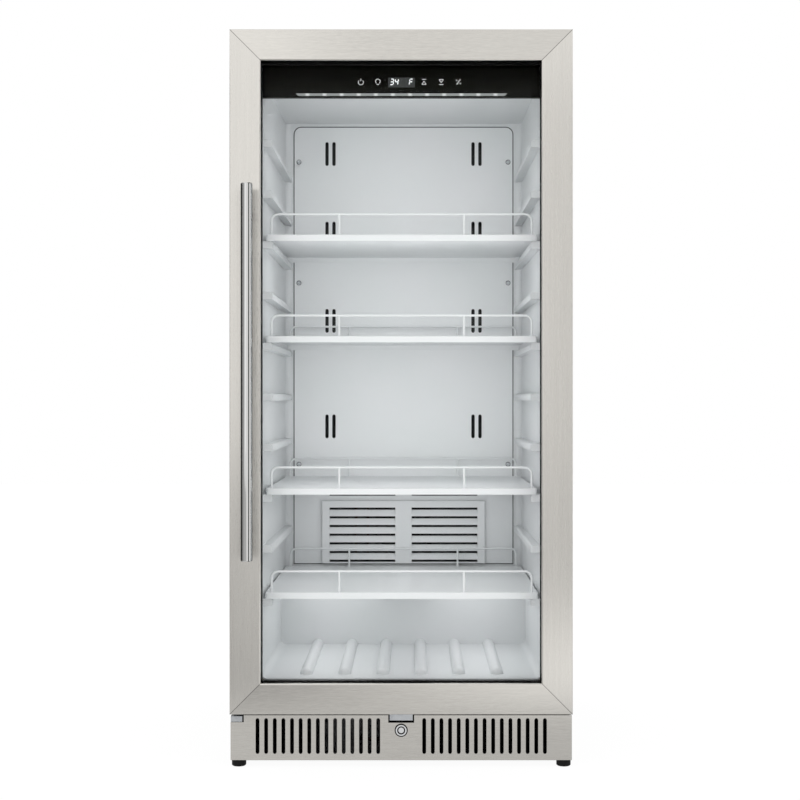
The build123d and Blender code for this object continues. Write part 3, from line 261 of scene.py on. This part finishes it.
def surface(tree, shader, colour, gloss, height=None, relief=0.0, depth=0.0002):
    """Feed a shader its colour and roughness, and the relief of a height where there is one."""
    tree.links.new(colour, shader.inputs["Base Color"])
    tree.links.new(gloss, shader.inputs["Roughness"])
    if height is not None:
        bump = add_node(tree, "ShaderNodeBump", {"Height": height, "Strength": relief, "Distance": depth})
        tree.links.new(bump.outputs[0], shader.inputs["Normal"])


def coated(name, low, high, rough, scale=900.0, relief=0.15, patch=7.0, deep=None, **constants):
    """Sprayed or moulded finish: two close tones in soft patches, changing gloss and fine dimples.

    Between the two depths of deep, the tone goes to a near-black painted shade.
    """
    material, tree, shader, place = new_finish(name, **constants)
    tone = put_group(tree, mottle, {"Vector": place, "Scale": patch})["Tone"]
    height = put_group(tree, skin, {"Vector": place, "Scale": scale})["Height"]
    colour = blend(tree, tone, low, high)
    if deep:
        # Painted shade: near black between the two depths of deep
        depth = add_node(tree, "ShaderNodeSeparateXYZ", {0: place}).outputs[1]
        colour = blend(tree, ramp(tree, depth, *deep), colour, (0.02, 0.022, 0.024))
    surface(tree, shader, colour, ramp(tree, tone, 0, 1, *rough), height, relief)
    return material


def galvanised(name, low, high):
    """Zinc coat: flat crystal patches, each with its own tone and gloss, under a thin cloudy film."""
    material, tree, shader, place = new_finish(name, Metallic=1.0)
    edges = add_node(tree, "ShaderNodeTexNoise", {"Vector": place, "Scale": 260.0, "Detail": 2.0})
    shift = add_node(tree, "ShaderNodeVectorMath", {
        0: edges.outputs["Color"], 1: (0.004, 0.004, 0.004),
    }, operation="MULTIPLY")
    moved = add_node(tree, "ShaderNodeVectorMath", {0: place, 1: shift.outputs[0]}, operation="ADD")
    flakes = add_node(tree, "ShaderNodeTexVoronoi", {"Vector": moved.outputs[0], "Scale": 105.0})
    parts = add_node(tree, "ShaderNodeSeparateColor", {0: flakes.outputs["Color"]}).outputs
    film = put_group(tree, mottle, {"Vector": place, "Scale": 3.0})["Tone"]
    share = between(tree, 0.16, parts[0], film)
    surface(tree, shader, blend(tree, share, low, high), ramp(tree, parts[1], 0, 1, 0.34, 0.46))
    return material


def dress(material, *names):
    """Give CAD nodes a material."""
    for name in names:
        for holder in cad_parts[name].material_slots:
            holder.material = material


black_paint = coated("satin_black_paint", (0.012, 0.012, 0.013), (0.015, 0.015, 0.016), (0.42, 0.47),
                     patch=3.0)
black_moulding = coated("black_moulding", (0.004, 0.004, 0.004), (0.008, 0.008, 0.008), (0.5, 0.62),
                        scale=1400.0, IOR=1.3)
zinc = galvanised("zinc_coat", (0.50, 0.52, 0.54), (0.61, 0.63, 0.65))
dress(black_paint, "base_pan")
dress(black_moulding, "foot_front_left", "foot_front_right", "foot_rear_left", "foot_rear_right")
dress(zinc, "left_bracket")

# ---- Machine space
# Compressor in black stove enamel on four rubber mounts, aluminium coils, copper lines, and a
# moulded tray and fan.  All of it stands on the pan or hangs from the divider.


def finned(name, pitch, low, high):
    """Mill aluminium with the thin lines of a fin pack across X."""
    material, tree, shader, place = new_finish(name, Metallic=1.0, Specular_Tint=(0.1, 0.1, 0.1, 1))
    tone = put_group(tree, mottle, {"Vector": place, "Scale": 30.0})["Tone"]
    lines = add_node(tree, "ShaderNodeTexWave", {
        "Vector": place, "Scale": 1 / pitch, "Distortion": 0.4, "Detail": 1.0,
    }, wave_type="BANDS", bands_direction="X").outputs["Fac"]
    surface(tree, shader, blend(tree, lines, low, high), ramp(tree, tone, 0, 1, 0.3, 0.5), lines, 0.6, 0.001)
    return material


def drawn_metal(name, low, high, rough):
    """Drawn tube or turned metal with darker handling marks."""
    material, tree, shader, place = new_finish(name, Metallic=1.0)
    tone = put_group(tree, mottle, {"Vector": place, "Scale": 45.0, "Softness": 0.7})["Tone"]
    surface(tree, shader, blend(tree, tone, low, high), ramp(tree, tone, 0, 1, *rough))
    return material


enamel = coated("compressor_enamel", (0.010, 0.010, 0.010), (0.022, 0.022, 0.022), (0.2, 0.36),
                scale=320.0, relief=0.35, IOR=1.3)
rubber = coated("black_rubber", (0.010, 0.010, 0.010), (0.022, 0.022, 0.022), (0.62, 0.8),
                scale=1100.0, relief=0.4)
# Painted shade: the copper is written near black, for the shade it lies in behind the kick plate's slots
copper = drawn_metal("drawn_copper", (0.02, 0.011, 0.008), (0.05, 0.026, 0.018), (0.35, 0.5))
fin_pitch = 0.006
dress(enamel, "compressor")
dress(rubber, "compressor_mounts", "cord_gland")
dress(finned("condenser_fins", fin_pitch, (0.004, 0.004, 0.004), (0.014, 0.014, 0.014)), "condenser_coil")
# Painted shade: the evaporator's aluminium is written near black, for the shade behind the duct panel
dress(finned("evaporator_fins", fin_pitch, (0.015, 0.016, 0.017), (0.05, 0.052, 0.055)), "evaporator_coil")
dress(copper, "refrigerant_pipes", "filter_drier")
dress(black_moulding, "drain_pan", "drain_tube", "condenser_fan_shroud", "condenser_fan_rotor",
      "evaporator_fan_shroud", "evaporator_fan_rotor")

# ---- Cabinet
# Steel wrapper in black powder coat, bare zinc-coated back, divider and rear cover, and foam blown
# between them and the liner.
foam = coated("blown_foam", (0.55, 0.46, 0.26), (0.70, 0.62, 0.40), (0.8, 0.95), scale=500.0, relief=0.8)
dress(black_paint, "outer_cabinet")
dress(zinc, "back_panel", "machine_cover", "machine_divider", "hinge_top", "hinge_bottom")
dress(foam, "insulation_foam")

# ---- Liner, duct panel and grille
# Vacuum-formed white plastic with a satin skin.  The duct panel and its raised grille are moulded
# in the same plastic and held by six cross-recessed screws.
moulding = {"scale": 600.0, "relief": 0.05, "patch": 3.0}
# Painted shade: behind the duct panel's front, the liner's rebate and pocket, the duct panel's sides and the
# grille's inner blades go near black
duct_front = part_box("rear_duct_panel")[0].y
grille_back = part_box("evaporator_grille")[1].y
liner_plastic = coated("liner_plastic", (0.69, 0.705, 0.715), (0.72, 0.735, 0.745), (0.32, 0.42),
                       deep=(duct_front + 0.0003, duct_front + 0.001), **moulding)
duct_plastic = coated("duct_plastic", (0.78, 0.795, 0.805), (0.81, 0.825, 0.835), (0.34, 0.44),
                      deep=(duct_front + 0.0002, duct_front + 0.0008), **moulding)
grille_plastic = coated("grille_plastic", (0.77, 0.785, 0.795), (0.80, 0.815, 0.825), (0.34, 0.44),
                        deep=(grille_back - 0.0022, grille_back - 0.0008), **moulding)
dress(liner_plastic, "inner_liner")
dress(duct_plastic, "rear_duct_panel")
dress(grille_plastic, "evaporator_grille")


def stack_rings(mesh, rings):
    """Join rings of equal count into a skin with its first and last ring filled."""
    grid = [[mesh.verts.new(point) for point in ring] for ring in rings]
    count = len(grid[0])
    for one, two in zip(grid, grid[1:]):
        for i in range(count):
            mesh.faces.new((one[i], one[(i + 1) % count], two[(i + 1) % count], two[i]))
    mesh.faces.new(grid[0])
    mesh.faces.new(grid[-1])


def plain_piece(name, mesh, material):
    """Finish a bmesh as an object at the origin with outward normals."""
    bmesh.ops.remove_doubles(mesh, verts=mesh.verts, dist=1e-7)
    bmesh.ops.recalc_face_normals(mesh, faces=mesh.faces)
    made = bpy.data.meshes.new(name)
    mesh.to_mesh(made)
    mesh.free()
    made.materials.append(material)
    piece = bpy.data.objects.new(name, made)
    scene.collection.objects.link(piece)
    return piece


def new_steps(name, **inputs):
    """Start a Geometry Nodes tree with geometry in and out and the named inputs."""
    tree = bpy.data.node_groups.new(name, "GeometryNodeTree")
    tree.is_modifier = True
    tree.interface.new_socket("Geometry", in_out="INPUT", socket_type="NodeSocketGeometry")
    kinds = {float: "NodeSocketFloat", int: "NodeSocketInt"}
    for label, value in inputs.items():
        kind = kinds.get(type(value), "NodeSocketMaterial")
        title = label.replace("_", " ").capitalize()
        tree.interface.new_socket(title, in_out="INPUT", socket_type=kind).default_value = value
    tree.interface.new_socket("Geometry", in_out="OUTPUT", socket_type="NodeSocketGeometry")
    return tree, tree.nodes.new("NodeGroupInput").outputs, tree.nodes.new("NodeGroupOutput").inputs


def end_steps(tree, geometry, material, result):
    """Close a Geometry Nodes tree: make its copies real, give them their material and put them out."""
    real = add_node(tree, "GeometryNodeRealizeInstances", {0: geometry})
    painted = add_node(tree, "GeometryNodeSetMaterial", {"Geometry": real.outputs[0], "Material": material})
    tree.links.new(painted.outputs[0], result["Geometry"])


def grown(name, skeleton, steps, **values):
    """Run Geometry Nodes steps on a skeleton mesh and keep the result as a plain mesh object."""
    maker = bpy.data.objects.new(f"{name}_maker", skeleton)
    scene.collection.objects.link(maker)
    run = maker.modifiers.new("steps", "NODES")
    run.node_group = steps
    for item in steps.interface.items_tree:
        label = item.name.lower().replace(" ", "_")
        if item.item_type == "SOCKET" and item.in_out == "INPUT" and label in values:
            run[item.identifier] = values[label]
    ready = maker.evaluated_get(bpy.context.evaluated_depsgraph_get())
    made = bpy.data.meshes.new_from_object(ready)
    bpy.data.objects.remove(maker)
    piece = bpy.data.objects.new(name, made)
    scene.collection.objects.link(piece)
    return piece


# Pan head with a cross recess, made once and set at each screw hole by the steps below
screw_low, screw_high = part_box("panel_screws")
screw_radius = 0.005
rim_radius = 0.0034
seat_reach = screw_high.y - duct_front
head_sides = 24
turn = [math.tau * i / head_sides for i in range(head_sides)]


def cross(size, angle, arm_share=0.26):
    """Distance from the middle of a cross recess to its edge; its arms are a share of it wide."""
    along = max(abs(math.cos(angle)), abs(math.sin(angle)))
    beside = min(abs(math.cos(angle)), abs(math.sin(angle)))
    return size * min(1 / along, arm_share / max(beside, 0.01))


head_outline = (
    (0.0016, seat_reach), (0.0020, 0.002), (0.0020, 0.0), (screw_radius, 0.0),
    (screw_radius, -0.0007), (0.0046, -0.0014), (0.0038, -0.0019), (0.0030, -0.0021),
)
recess_outline = ((0.0022, -0.0022), (0.0017, -0.0008))
rings = [[(r * math.cos(a), y, r * math.sin(a)) for a in turn] for r, y in head_outline]
rings += [[(cross(size, a) * math.cos(a), y, cross(size, a) * math.sin(a)) for a in turn]
          for size, y in recess_outline]
head = bmesh.new()
stack_rings(head, rings)
screw_head = plain_piece("screw_head", head, zinc)
for polygon in screw_head.data.polygons:
    polygon.use_smooth = True
steps, given, result = new_steps("set_screws", metal=zinc)
ends = add_node(steps, "GeometryNodeObjectInfo", {"Object": screw_head})
seats = add_node(steps, "GeometryNodeMeshToPoints", {"Mesh": given["Geometry"]})
placed = add_node(steps, "GeometryNodeInstanceOnPoints", {
    "Points": seats.outputs[0], "Instance": ends.outputs["Geometry"],
})
end_steps(steps, placed.outputs[0], given["Metal"], result)
top_row, bottom_row = screw_high.z - screw_radius, screw_low.z + screw_radius
middle_row = top_row - 0.4 * (top_row - bottom_row)
seat_points = bpy.data.meshes.new("screw_seats")
seat_points.from_pydata([
    (x, duct_front, z)
    for x in (screw_low.x + screw_radius, screw_high.x - screw_radius)
    for z in (top_row, middle_row, bottom_row)
], [], [])
screws = grown("duct_screws", seat_points, steps, metal=zinc)
bpy.data.objects.remove(screw_head)
# Painted shade: the rim of each head gets a much darker zinc than the middle, for the shade round the head
screws.data.materials.append(galvanised("screw_rim", (0.05, 0.052, 0.055), (0.09, 0.092, 0.095)))
for polygon in screws.data.polygons:
    seat = min(seat_points.vertices, key=lambda point: (point.co - polygon.center).length).co
    from_middle = math.hypot(polygon.center.x - seat.x, polygon.center.z - seat.z)
    polygon.material_index = int(from_middle > rim_radius)
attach(screws, "cabinet")
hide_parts("panel_screws")

# ---- Control hood and light
# Black moulded hood with a glossy touch fascia, a grey display window and a clear lens over a row
# of emitters.  Soft lamps in the bays stand for the light that they throw into the cabinet.
fascia_low, fascia_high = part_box("control_panel")
fascia_gloss, tree, shader, place = new_finish("fascia_gloss", IOR=1.1)
up = add_node(tree, "ShaderNodeSeparateXYZ", {0: place}).outputs[2]
# Painted shade: the fascia's colour goes from dark grey at its foot to black at its top
painted_top_shade = ramp(tree, up, fascia_low.z, fascia_high.z)
smoke = put_group(tree, mottle, {"Vector": place, "Scale": 12.0})["Tone"]
surface(tree, shader, blend(tree, painted_top_shade, (0.0105, 0.0108, 0.0082), (0.0003, 0.0003, 0.0002)),
        ramp(tree, smoke, 0, 1, 0.08, 0.14))
hood_moulding = coated("hood_moulding", (0.004, 0.004, 0.003), (0.007, 0.007, 0.006), (0.3, 0.4),
                       scale=1200.0, IOR=1.2)
board_green = coated("board_green", (0.02, 0.09, 0.04), (0.03, 0.13, 0.06), (0.4, 0.55))
display_window = coated("display_window", (0.085, 0.09, 0.09), (0.10, 0.105, 0.105), (0.3, 0.4), scale=300.0)
led_pitch = 0.0303
lens_finish, tree, shader, place = new_finish("light_lens", Roughness=0.35, Emission_Strength=1.0)
across = add_node(tree, "ShaderNodeSeparateXYZ", {0: place}).outputs[0]
wave = calc(tree, "COSINE", calc(tree, "MULTIPLY", across, math.tau / led_pitch))
spot = ramp(tree, wave, -0.55, -1.0)
tree.links.new(blend(tree, spot, (0.30, 0.32, 0.32), (0.6, 0.62, 0.62)), shader.inputs["Base Color"])
tree.links.new(blend(tree, spot, (0.07, 0.07, 0.07), (0.26, 0.27, 0.27)), shader.inputs["Emission Color"])
dress(hood_moulding, "control_housing")
dress(fascia_gloss, "control_panel")
dress(display_window, "display_module")
dress(board_green, "led_strip")
dress(lens_finish, "led_lens")
mouth_low, mouth_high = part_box("outer_glass")
mouth_middle = (mouth_low.z + mouth_high.z) / 2
mouth_size = (2 * mouth_high.x - 0.04, mouth_high.z - mouth_low.z - 0.12)
soft_panel("cabinet_light", (0, mouth_high.y + 0.04, mouth_middle), (0, 1, mouth_middle), mouth_size, 0.5)
shelf_low, shelf_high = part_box("shelf_1")
bay_front = shelf_low.y + 0.013
bay_width = 2 * shelf_high.x - 0.06
floors = [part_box(f"shelf_{number}")[1].z for number in (3, 2, 1)]
ceilings = [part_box(name)[0].z for name in ("shelf_2", "shelf_1", "control_housing")]
for low, high, bay_level in zip(floors, ceilings, (0.90, 1.40, 1.04)):
    middle = (low + high) / 2
    bay_size = (bay_width, high - low - 0.006)
    soft_panel(f"bay_light_{low:.2f}", (0, bay_front, middle), (0, 1, middle), bay_size, bay_level, 150)
for name, shelf, x, y, width, down_level in (
    ("grille_bay_light", "shelf_3", 0, 0, 2 * shelf_high.x - 0.08, 0.67),
    ("bin_light_left", "shelf_4", -0.14, 0.01, 0.16, 1.08),
    ("bin_light_right", "shelf_4", 0.14, 0.01, 0.16, 1.08),
):
    soft_panel(name, (x, y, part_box(shelf)[0].z - 0.004), (x, y, 0), (width, 0.34), down_level)

# ---- Shelves
# Folded sheet shelves that slide on the liner's ledges, each with a guard of bent wire welded
# along its front and its back edge.  All of it is in white powder coat.
shelf_coat = coated("white_powder_coat", (0.74, 0.755, 0.765), (0.78, 0.795, 0.805), (0.36, 0.46),
                    scale=1000.0, relief=0.12, patch=4.0)

# bend_wire: joined corner points become round wire with bent corners; Flat squeezes it along Y
bend_wire, given, result = new_steps("bend_wire", wire_radius=0.002, bend_radius=0.0125, sides=12,
                                     bend_steps=7, flat=1.0, finish=shelf_coat)
path = add_node(bend_wire, "GeometryNodeMeshToCurve", {"Mesh": given["Geometry"]})
bent = add_node(bend_wire, "GeometryNodeFilletCurve", {
    "Curve": path.outputs[0], "Count": given["Bend steps"], "Radius": given["Bend radius"],
    "Limit Radius": True,
}, mode="POLY")
section = add_node(bend_wire, "GeometryNodeCurvePrimitiveCircle", {
    "Resolution": given["Sides"], "Radius": given["Wire radius"],
}, mode="RADIUS")
wire = add_node(bend_wire, "GeometryNodeCurveToMesh", {
    "Curve": bent.outputs[0], "Profile Curve": section.outputs[0], "Fill Caps": True,
})
squeeze = add_node(bend_wire, "ShaderNodeCombineXYZ", {0: 1.0, 1: given["Flat"], 2: 1.0})
flatter = add_node(bend_wire, "GeometryNodeTransform", {
    "Geometry": wire.outputs[0], "Scale": squeeze.outputs[0],
})
end_steps(bend_wire, flatter.outputs[0], given["Finish"], result)

guard_wire = 0.002
post_share = 0.48
for number in (1, 2, 3, 4):
    dress(shelf_coat, f"shelf_{number}")
    low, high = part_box(f"shelf_{number}_fence")
    left, right, top = low.x + guard_wire, high.x - guard_wire, high.z - guard_wire
    points, joins = [], []
    for y in (low.y + guard_wire, high.y - guard_wire):
        start = len(points)
        points += [(left, y, low.z), (left, y, top), (right, y, top), (right, y, low.z)]
        joins += [(start + i, start + i + 1) for i in range(3)]
        for x in (post_share * left, post_share * right):
            joins.append((len(points), len(points) + 1))
            points += [(x, y, low.z), (x, y, top)]
    skeleton = bpy.data.meshes.new(f"guard_{number}_path")
    skeleton.from_pydata(points, joins, [])
    guard = grown(f"shelf_{number}_guard", skeleton, bend_wire, wire_radius=guard_wire)
    # The wire is smooth all along and flat at its cut ends
    for polygon in guard.data.polygons:
        polygon.use_smooth = len(polygon.vertices) == 4
    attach(guard, f"shelf_{number}")
    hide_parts(f"shelf_{number}_fence")

# ---- Touch keys and display
# Five key marks in white print are lit from behind the fascia.  The display glows white through a
# grey window: two slanted seven-bar figures for the temperature and a letter for its scale.


def lit_print(name, strength):
    """White print that is lit from behind."""
    material, tree, shader, place = new_finish(name, Roughness=0.4, Emission_Strength=strength)
    tone = put_group(tree, mottle, {"Vector": place, "Scale": 400.0})["Tone"]
    for label, low, high in (
        ("Base Color", (0.70, 0.72, 0.72), (0.80, 0.82, 0.82)),
        ("Emission Color", (0.80, 0.84, 0.84), (0.95, 0.98, 0.98)),
    ):
        tree.links.new(blend(tree, tone, low, high), shader.inputs[label])
    return material


def arc(x, z, radius, start, end, count=20):
    """Points along an arc, angles in degrees."""
    step = (end - start) / (count - 1)
    angles = [math.radians(start + i * step) for i in range(count)]
    return [(x + radius * math.cos(a), z + radius * math.sin(a)) for a in angles]


key_glow = lit_print("key_glow", 1.0)
figure_glow = lit_print("figure_glow", 1.2)
window_grey = coated("window_grey", (0.070, 0.074, 0.074), (0.085, 0.089, 0.089), (0.3, 0.4),
                     scale=300.0, IOR=1.2)
key_height = fascia_low.z + 0.0138
# Strokes in millimetres from each mark's middle: power, lamp, warmer, colder and change of scale
key_marks = {
    -0.0720: [arc(0, -0.6, 4.5, 138, 402), [(0, 1.4), (0, 5.8)]],
    -0.0418: [arc(0, 0.9, 4.1, -55, 235), [(-2.0, -4.6), (2.0, -4.6)]],
    0.0400: [[(-3.8, 4.6), (3.8, 4.6)], [(-3.8, -4.2), (0, 1.4), (3.8, -4.2), (-3.8, -4.2)]],
    0.0705: [[(-3.8, -4.6), (3.8, -4.6)], [(-3.8, 4.2), (0, -1.4), (3.8, 4.2), (-3.8, 4.2)]],
    0.1010: [[(-3.4, -4.8), (3.4, 4.8)], [(-4.4, 3.8), (-1.9, 1.7)], [(1.9, -1.7), (4.4, -3.8)]],
}
points, joins = [], []
for x, strokes in key_marks.items():
    for stroke in strokes:
        joins += [(len(points) + i, len(points) + i + 1) for i in range(len(stroke) - 1)]
        points += [(x + u / 1000, 0, v / 1000) for u, v in stroke]
skeleton = bpy.data.meshes.new("key_strokes")
skeleton.from_pydata(points, joins, [])
marks = grown("key_marks", skeleton, bend_wire, wire_radius=0.00030, bend_radius=0.0002, sides=8,
              bend_steps=2, flat=0.25, finish=key_glow)
marks.data.transform(Matrix.Translation((0, fascia_low.y, key_height)))
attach(marks, "cabinet")

window_half, window_low, window_high = 0.0238, fascia_low.z + 0.004, fascia_low.z + 0.0215
window_thickness = 0.0001
lit = bmesh.new()
stack_rings(lit, [[
    (-window_half, y, window_low), (window_half, y, window_low),
    (window_half, y, window_high), (-window_half, y, window_high),
] for y in (fascia_low.y, fascia_low.y - window_thickness)])
window = plain_piece("display_window", lit, window_grey)
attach(window, "cabinet")

figure_height = 0.0100
figure_width = 0.0052
bar_half = 0.00070
figure_thickness = 0.0003
lean = 0.16
# Each bar's two ends, counted in figure widths and half figure heights
bars = {
    "top": ((0, 2), (1, 2)), "middle": ((0, 1), (1, 1)), "bottom": ((0, 0), (1, 0)),
    "high left": ((0, 1), (0, 2)), "high right": ((1, 1), (1, 2)),
    "low left": ((0, 0), (0, 1)), "low right": ((1, 0), (1, 1)),
}
figures = (
    (-0.0202, ("top", "middle", "bottom", "high right", "low right")),
    (-0.0120, ("high left", "high right", "middle", "low right")),
    (0.0135, ("top", "middle", "high left", "low left")),
)
lit = bmesh.new()
for x, names in figures:
    for name in names:
        start, end = (Vector((u * figure_width, v * figure_height / 2)) for u, v in bars[name])
        along = (end - start).normalized() * bar_half
        side = Vector((-along.y, along.x))
        start, end = start + along / 2, end - along / 2
        outline = [start, start + along + side, end - along + side,
                   end, end - along - side, start + along - side]
        stack_rings(lit, [
            [(x + p.x + lean * p.y, y, key_height - figure_height / 2 + p.y) for p in outline]
            for y in (fascia_low.y, fascia_low.y - figure_thickness)
        ])
digits = plain_piece("display_figures", lit, figure_glow)
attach(digits, "cabinet")

# ---- Kick plate and lock
# Slotted plate of brushed stainless steel, brushed along its length, with a turned and polished
# cam lock in its middle.

# brushed_lines: fine scratches and broader streaks along one axis, from 0 to 1
brushed_lines, given, result = new_group(
    "brushed_lines", {"Vector": (0, 0, 0), "Grain": (1, 1, 1)}, ["Lines", "Streaks"]
)
stretched = add_node(brushed_lines, "ShaderNodeVectorMath", {
    0: given["Vector"], 1: given["Grain"],
}, operation="MULTIPLY").outputs[0]
for label, scale, detail, rough in (("Lines", 1.0, 3.0, 0.65), ("Streaks", 0.22, 2.0, 0.5)):
    scratch = add_node(brushed_lines, "ShaderNodeTexNoise", {
        "Vector": stretched, "Scale": scale, "Detail": detail, "Roughness": rough,
    })
    brushed_lines.links.new(ramp(brushed_lines, scratch.outputs["Fac"], 0.3, 0.7), result[label])

# mitre_shade: 1 in the hairline where two trims meet at a door corner, 0 elsewhere
door_low, door_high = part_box("left_stile")
mitre_shade, given, result = new_group("mitre_shade", {
    "Vector": (0, 0, 0), "Half width": -door_low.x, "Low": door_low.z, "High": door_high.z, "Width": 0.0010,
}, ["Mask"])
across, _, up = add_node(mitre_shade, "ShaderNodeSeparateXYZ", {0: given["Vector"]}).outputs
from_side = calc(mitre_shade, "SUBTRACT", given["Half width"], calc(mitre_shade, "ABSOLUTE", across))
from_end = calc(mitre_shade, "MINIMUM", calc(mitre_shade, "SUBTRACT", up, given["Low"]),
                calc(mitre_shade, "SUBTRACT", given["High"], up))
gap = calc(mitre_shade, "ABSOLUTE", calc(mitre_shade, "SUBTRACT", from_side, from_end))
mitre_shade.links.new(ramp(mitre_shade, gap, 0.0, given["Width"], 1.0, 0.0), result["Mask"])


def brushed_steel(name, grain, low=(0.56, 0.542, 0.509), high=(0.665, 0.645, 0.604), rough=(0.14, 0.22),
                  relief=0.1, mitred=False, painted_shade_behind=None, **constants):
    """Stainless steel brushed along one axis; grain is lines per metre on each axis.

    Mitred steel has dark hairlines at the door's corners; behind a depth, cut edges and the back get a
    near-black painted shade.
    """
    material, tree, shader, place = new_finish(name, Metallic=1.0, **constants)
    made = put_group(tree, brushed_lines, {"Vector": place, "Grain": grain})
    tone = blend(tree, between(tree, 0.25, made["Lines"], made["Streaks"]), low, high)
    if mitred:
        hairline = put_group(tree, mitre_shade, {"Vector": place})["Mask"]
        tone = blend(tree, hairline, tone, (0.03, 0.029, 0.027))
    if painted_shade_behind is not None:
        # Painted shade: near black behind the given depth
        depth = add_node(tree, "ShaderNodeSeparateXYZ", {0: place}).outputs[1]
        tone = blend(tree, ramp(tree, depth, painted_shade_behind, painted_shade_behind + 0.0004), tone, (0.02, 0.02, 0.02))
    surface(tree, shader, tone, ramp(tree, made["Lines"], 0, 1, *rough), made["Lines"], relief, 0.0001)
    return material


level_grain = (70.0, 1500.0, 1500.0)
# Painted shade: the cut edges of the kick plate's slots go near black
steel_plain = brushed_steel("steel_brushed_kick", level_grain, painted_shade_behind=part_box("kick_plate")[0].y + 0.0002)
lock_low, lock_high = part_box("lock_body")
lock_middle = (lock_low + lock_high) / 2
lock_radius = (lock_high.x - lock_low.x) / 2
groove_width = 0.05 * lock_radius
polished, tree, shader, place = new_finish("polished_steel", Metallic=1.0)
from_axis = add_node(tree, "ShaderNodeVectorMath", {0: place, 1: lock_middle}, operation="SUBTRACT")
flat = add_node(tree, "ShaderNodeVectorMath", {0: from_axis.outputs[0], 1: (1, 0, 1)}, operation="MULTIPLY")
radius = add_node(tree, "ShaderNodeVectorMath", {0: flat.outputs[0]}, operation="LENGTH").outputs["Value"]
tone = put_group(tree, mottle, {"Vector": place, "Scale": 160.0})["Tone"]
bright = blend(tree, tone, (0.78, 0.79, 0.80), (0.86, 0.87, 0.88))
# Painted shade: a dark ring round the plug and a dark rim round the barrel, where the lock's gaps lie in shade
plug_edge, barrel_edge, rim = (
    ramp(tree, radius, share * lock_radius, share * lock_radius + groove_width)
    for share in (0.40, 0.60, 0.80)
)
black = calc(tree, "ADD", calc(tree, "SUBTRACT", plug_edge, barrel_edge), rim)
surface(tree, shader, blend(tree, black, bright, (0.015, 0.015, 0.015)), ramp(tree, tone, 0, 1, 0.12, 0.2))
dress(steel_plain, "kick_plate")
dress(polished, "lock_body", "lock_plug")
dress(zinc, "lock_cam", "lock_keeper")

# ---- Door
# A moulded core behind four folded and mitred trims of brushed stainless steel, a sealed unit of
# two clear panes on a black spacer, a grey gasket, and a round bar handle on two posts.


def clear_glass(name, tint):
    """Coated pane: clear to the eye and to lamps, with a faint mirror."""
    material, tree, shader, place = new_finish(name, Transmission_Weight=1.0, IOR=1.05, Roughness=0.0,
                                               Base_Color=(*tint, 1))
    smear = put_group(tree, mottle, {"Vector": place, "Scale": 9.0})["Tone"]
    tree.links.new(blend(tree, smear, tint, (1, 1, 1)), shader.inputs["Base Color"])
    ray = add_node(tree, "ShaderNodeLightPath").outputs
    opened = calc(tree, "MAXIMUM", ray["Is Shadow Ray"], ray["Is Diffuse Ray"])
    bare = add_node(tree, "ShaderNodeBsdfTransparent", {"Color": (0.98, 0.98, 0.98, 1)})
    mix = add_node(tree, "ShaderNodeMixShader", {0: opened, 1: shader.outputs[0], 2: bare.outputs[0]})
    tree.links.new(mix.outputs[0], tree.nodes["Material Output"].inputs["Surface"])
    return material


frame_black = coated("frame_black", (0.004, 0.004, 0.004), (0.007, 0.007, 0.007), (0.5, 0.65),
                     scale=1400.0, IOR=1.25)
seal = coated("gasket_grey", (0.16, 0.165, 0.17), (0.20, 0.205, 0.21), (0.55, 0.7), scale=800.0, relief=0.2)
pane = clear_glass("clear_pane", (0.985, 0.995, 0.99))
steel_across = brushed_steel("steel_brushed_across", level_grain, mitred=True)
# Painted light: the upright trims' steel is written lighter than the level trims', to make up for the darker
# look of their stretched reflections
steel_upright = brushed_steel("steel_brushed_upright", (1300.0, 1300.0, 22.0), (0.63, 0.61, 0.573),
                              (0.745, 0.723, 0.678), (0.255, 0.325), mitred=True, Anisotropic=0.85)
bar_steel = brushed_steel("steel_bar", (1400.0, 1400.0, 12.0), (0.61, 0.61, 0.60), (0.67, 0.67, 0.66),
                          (0.04, 0.07), 0.02, Specular_Tint=(0.1, 0.1, 0.1, 1))
dress(frame_black, "door_core", "door_inner_frame", "glass_spacer")
dress(steel_upright, "left_stile", "right_stile")
dress(steel_across, "bottom_rail", "top_rail")
dress(pane, "outer_glass", "inner_glass")
dress(seal, "door_gasket")
dress(bar_steel, "handle_bar", "handle_posts")
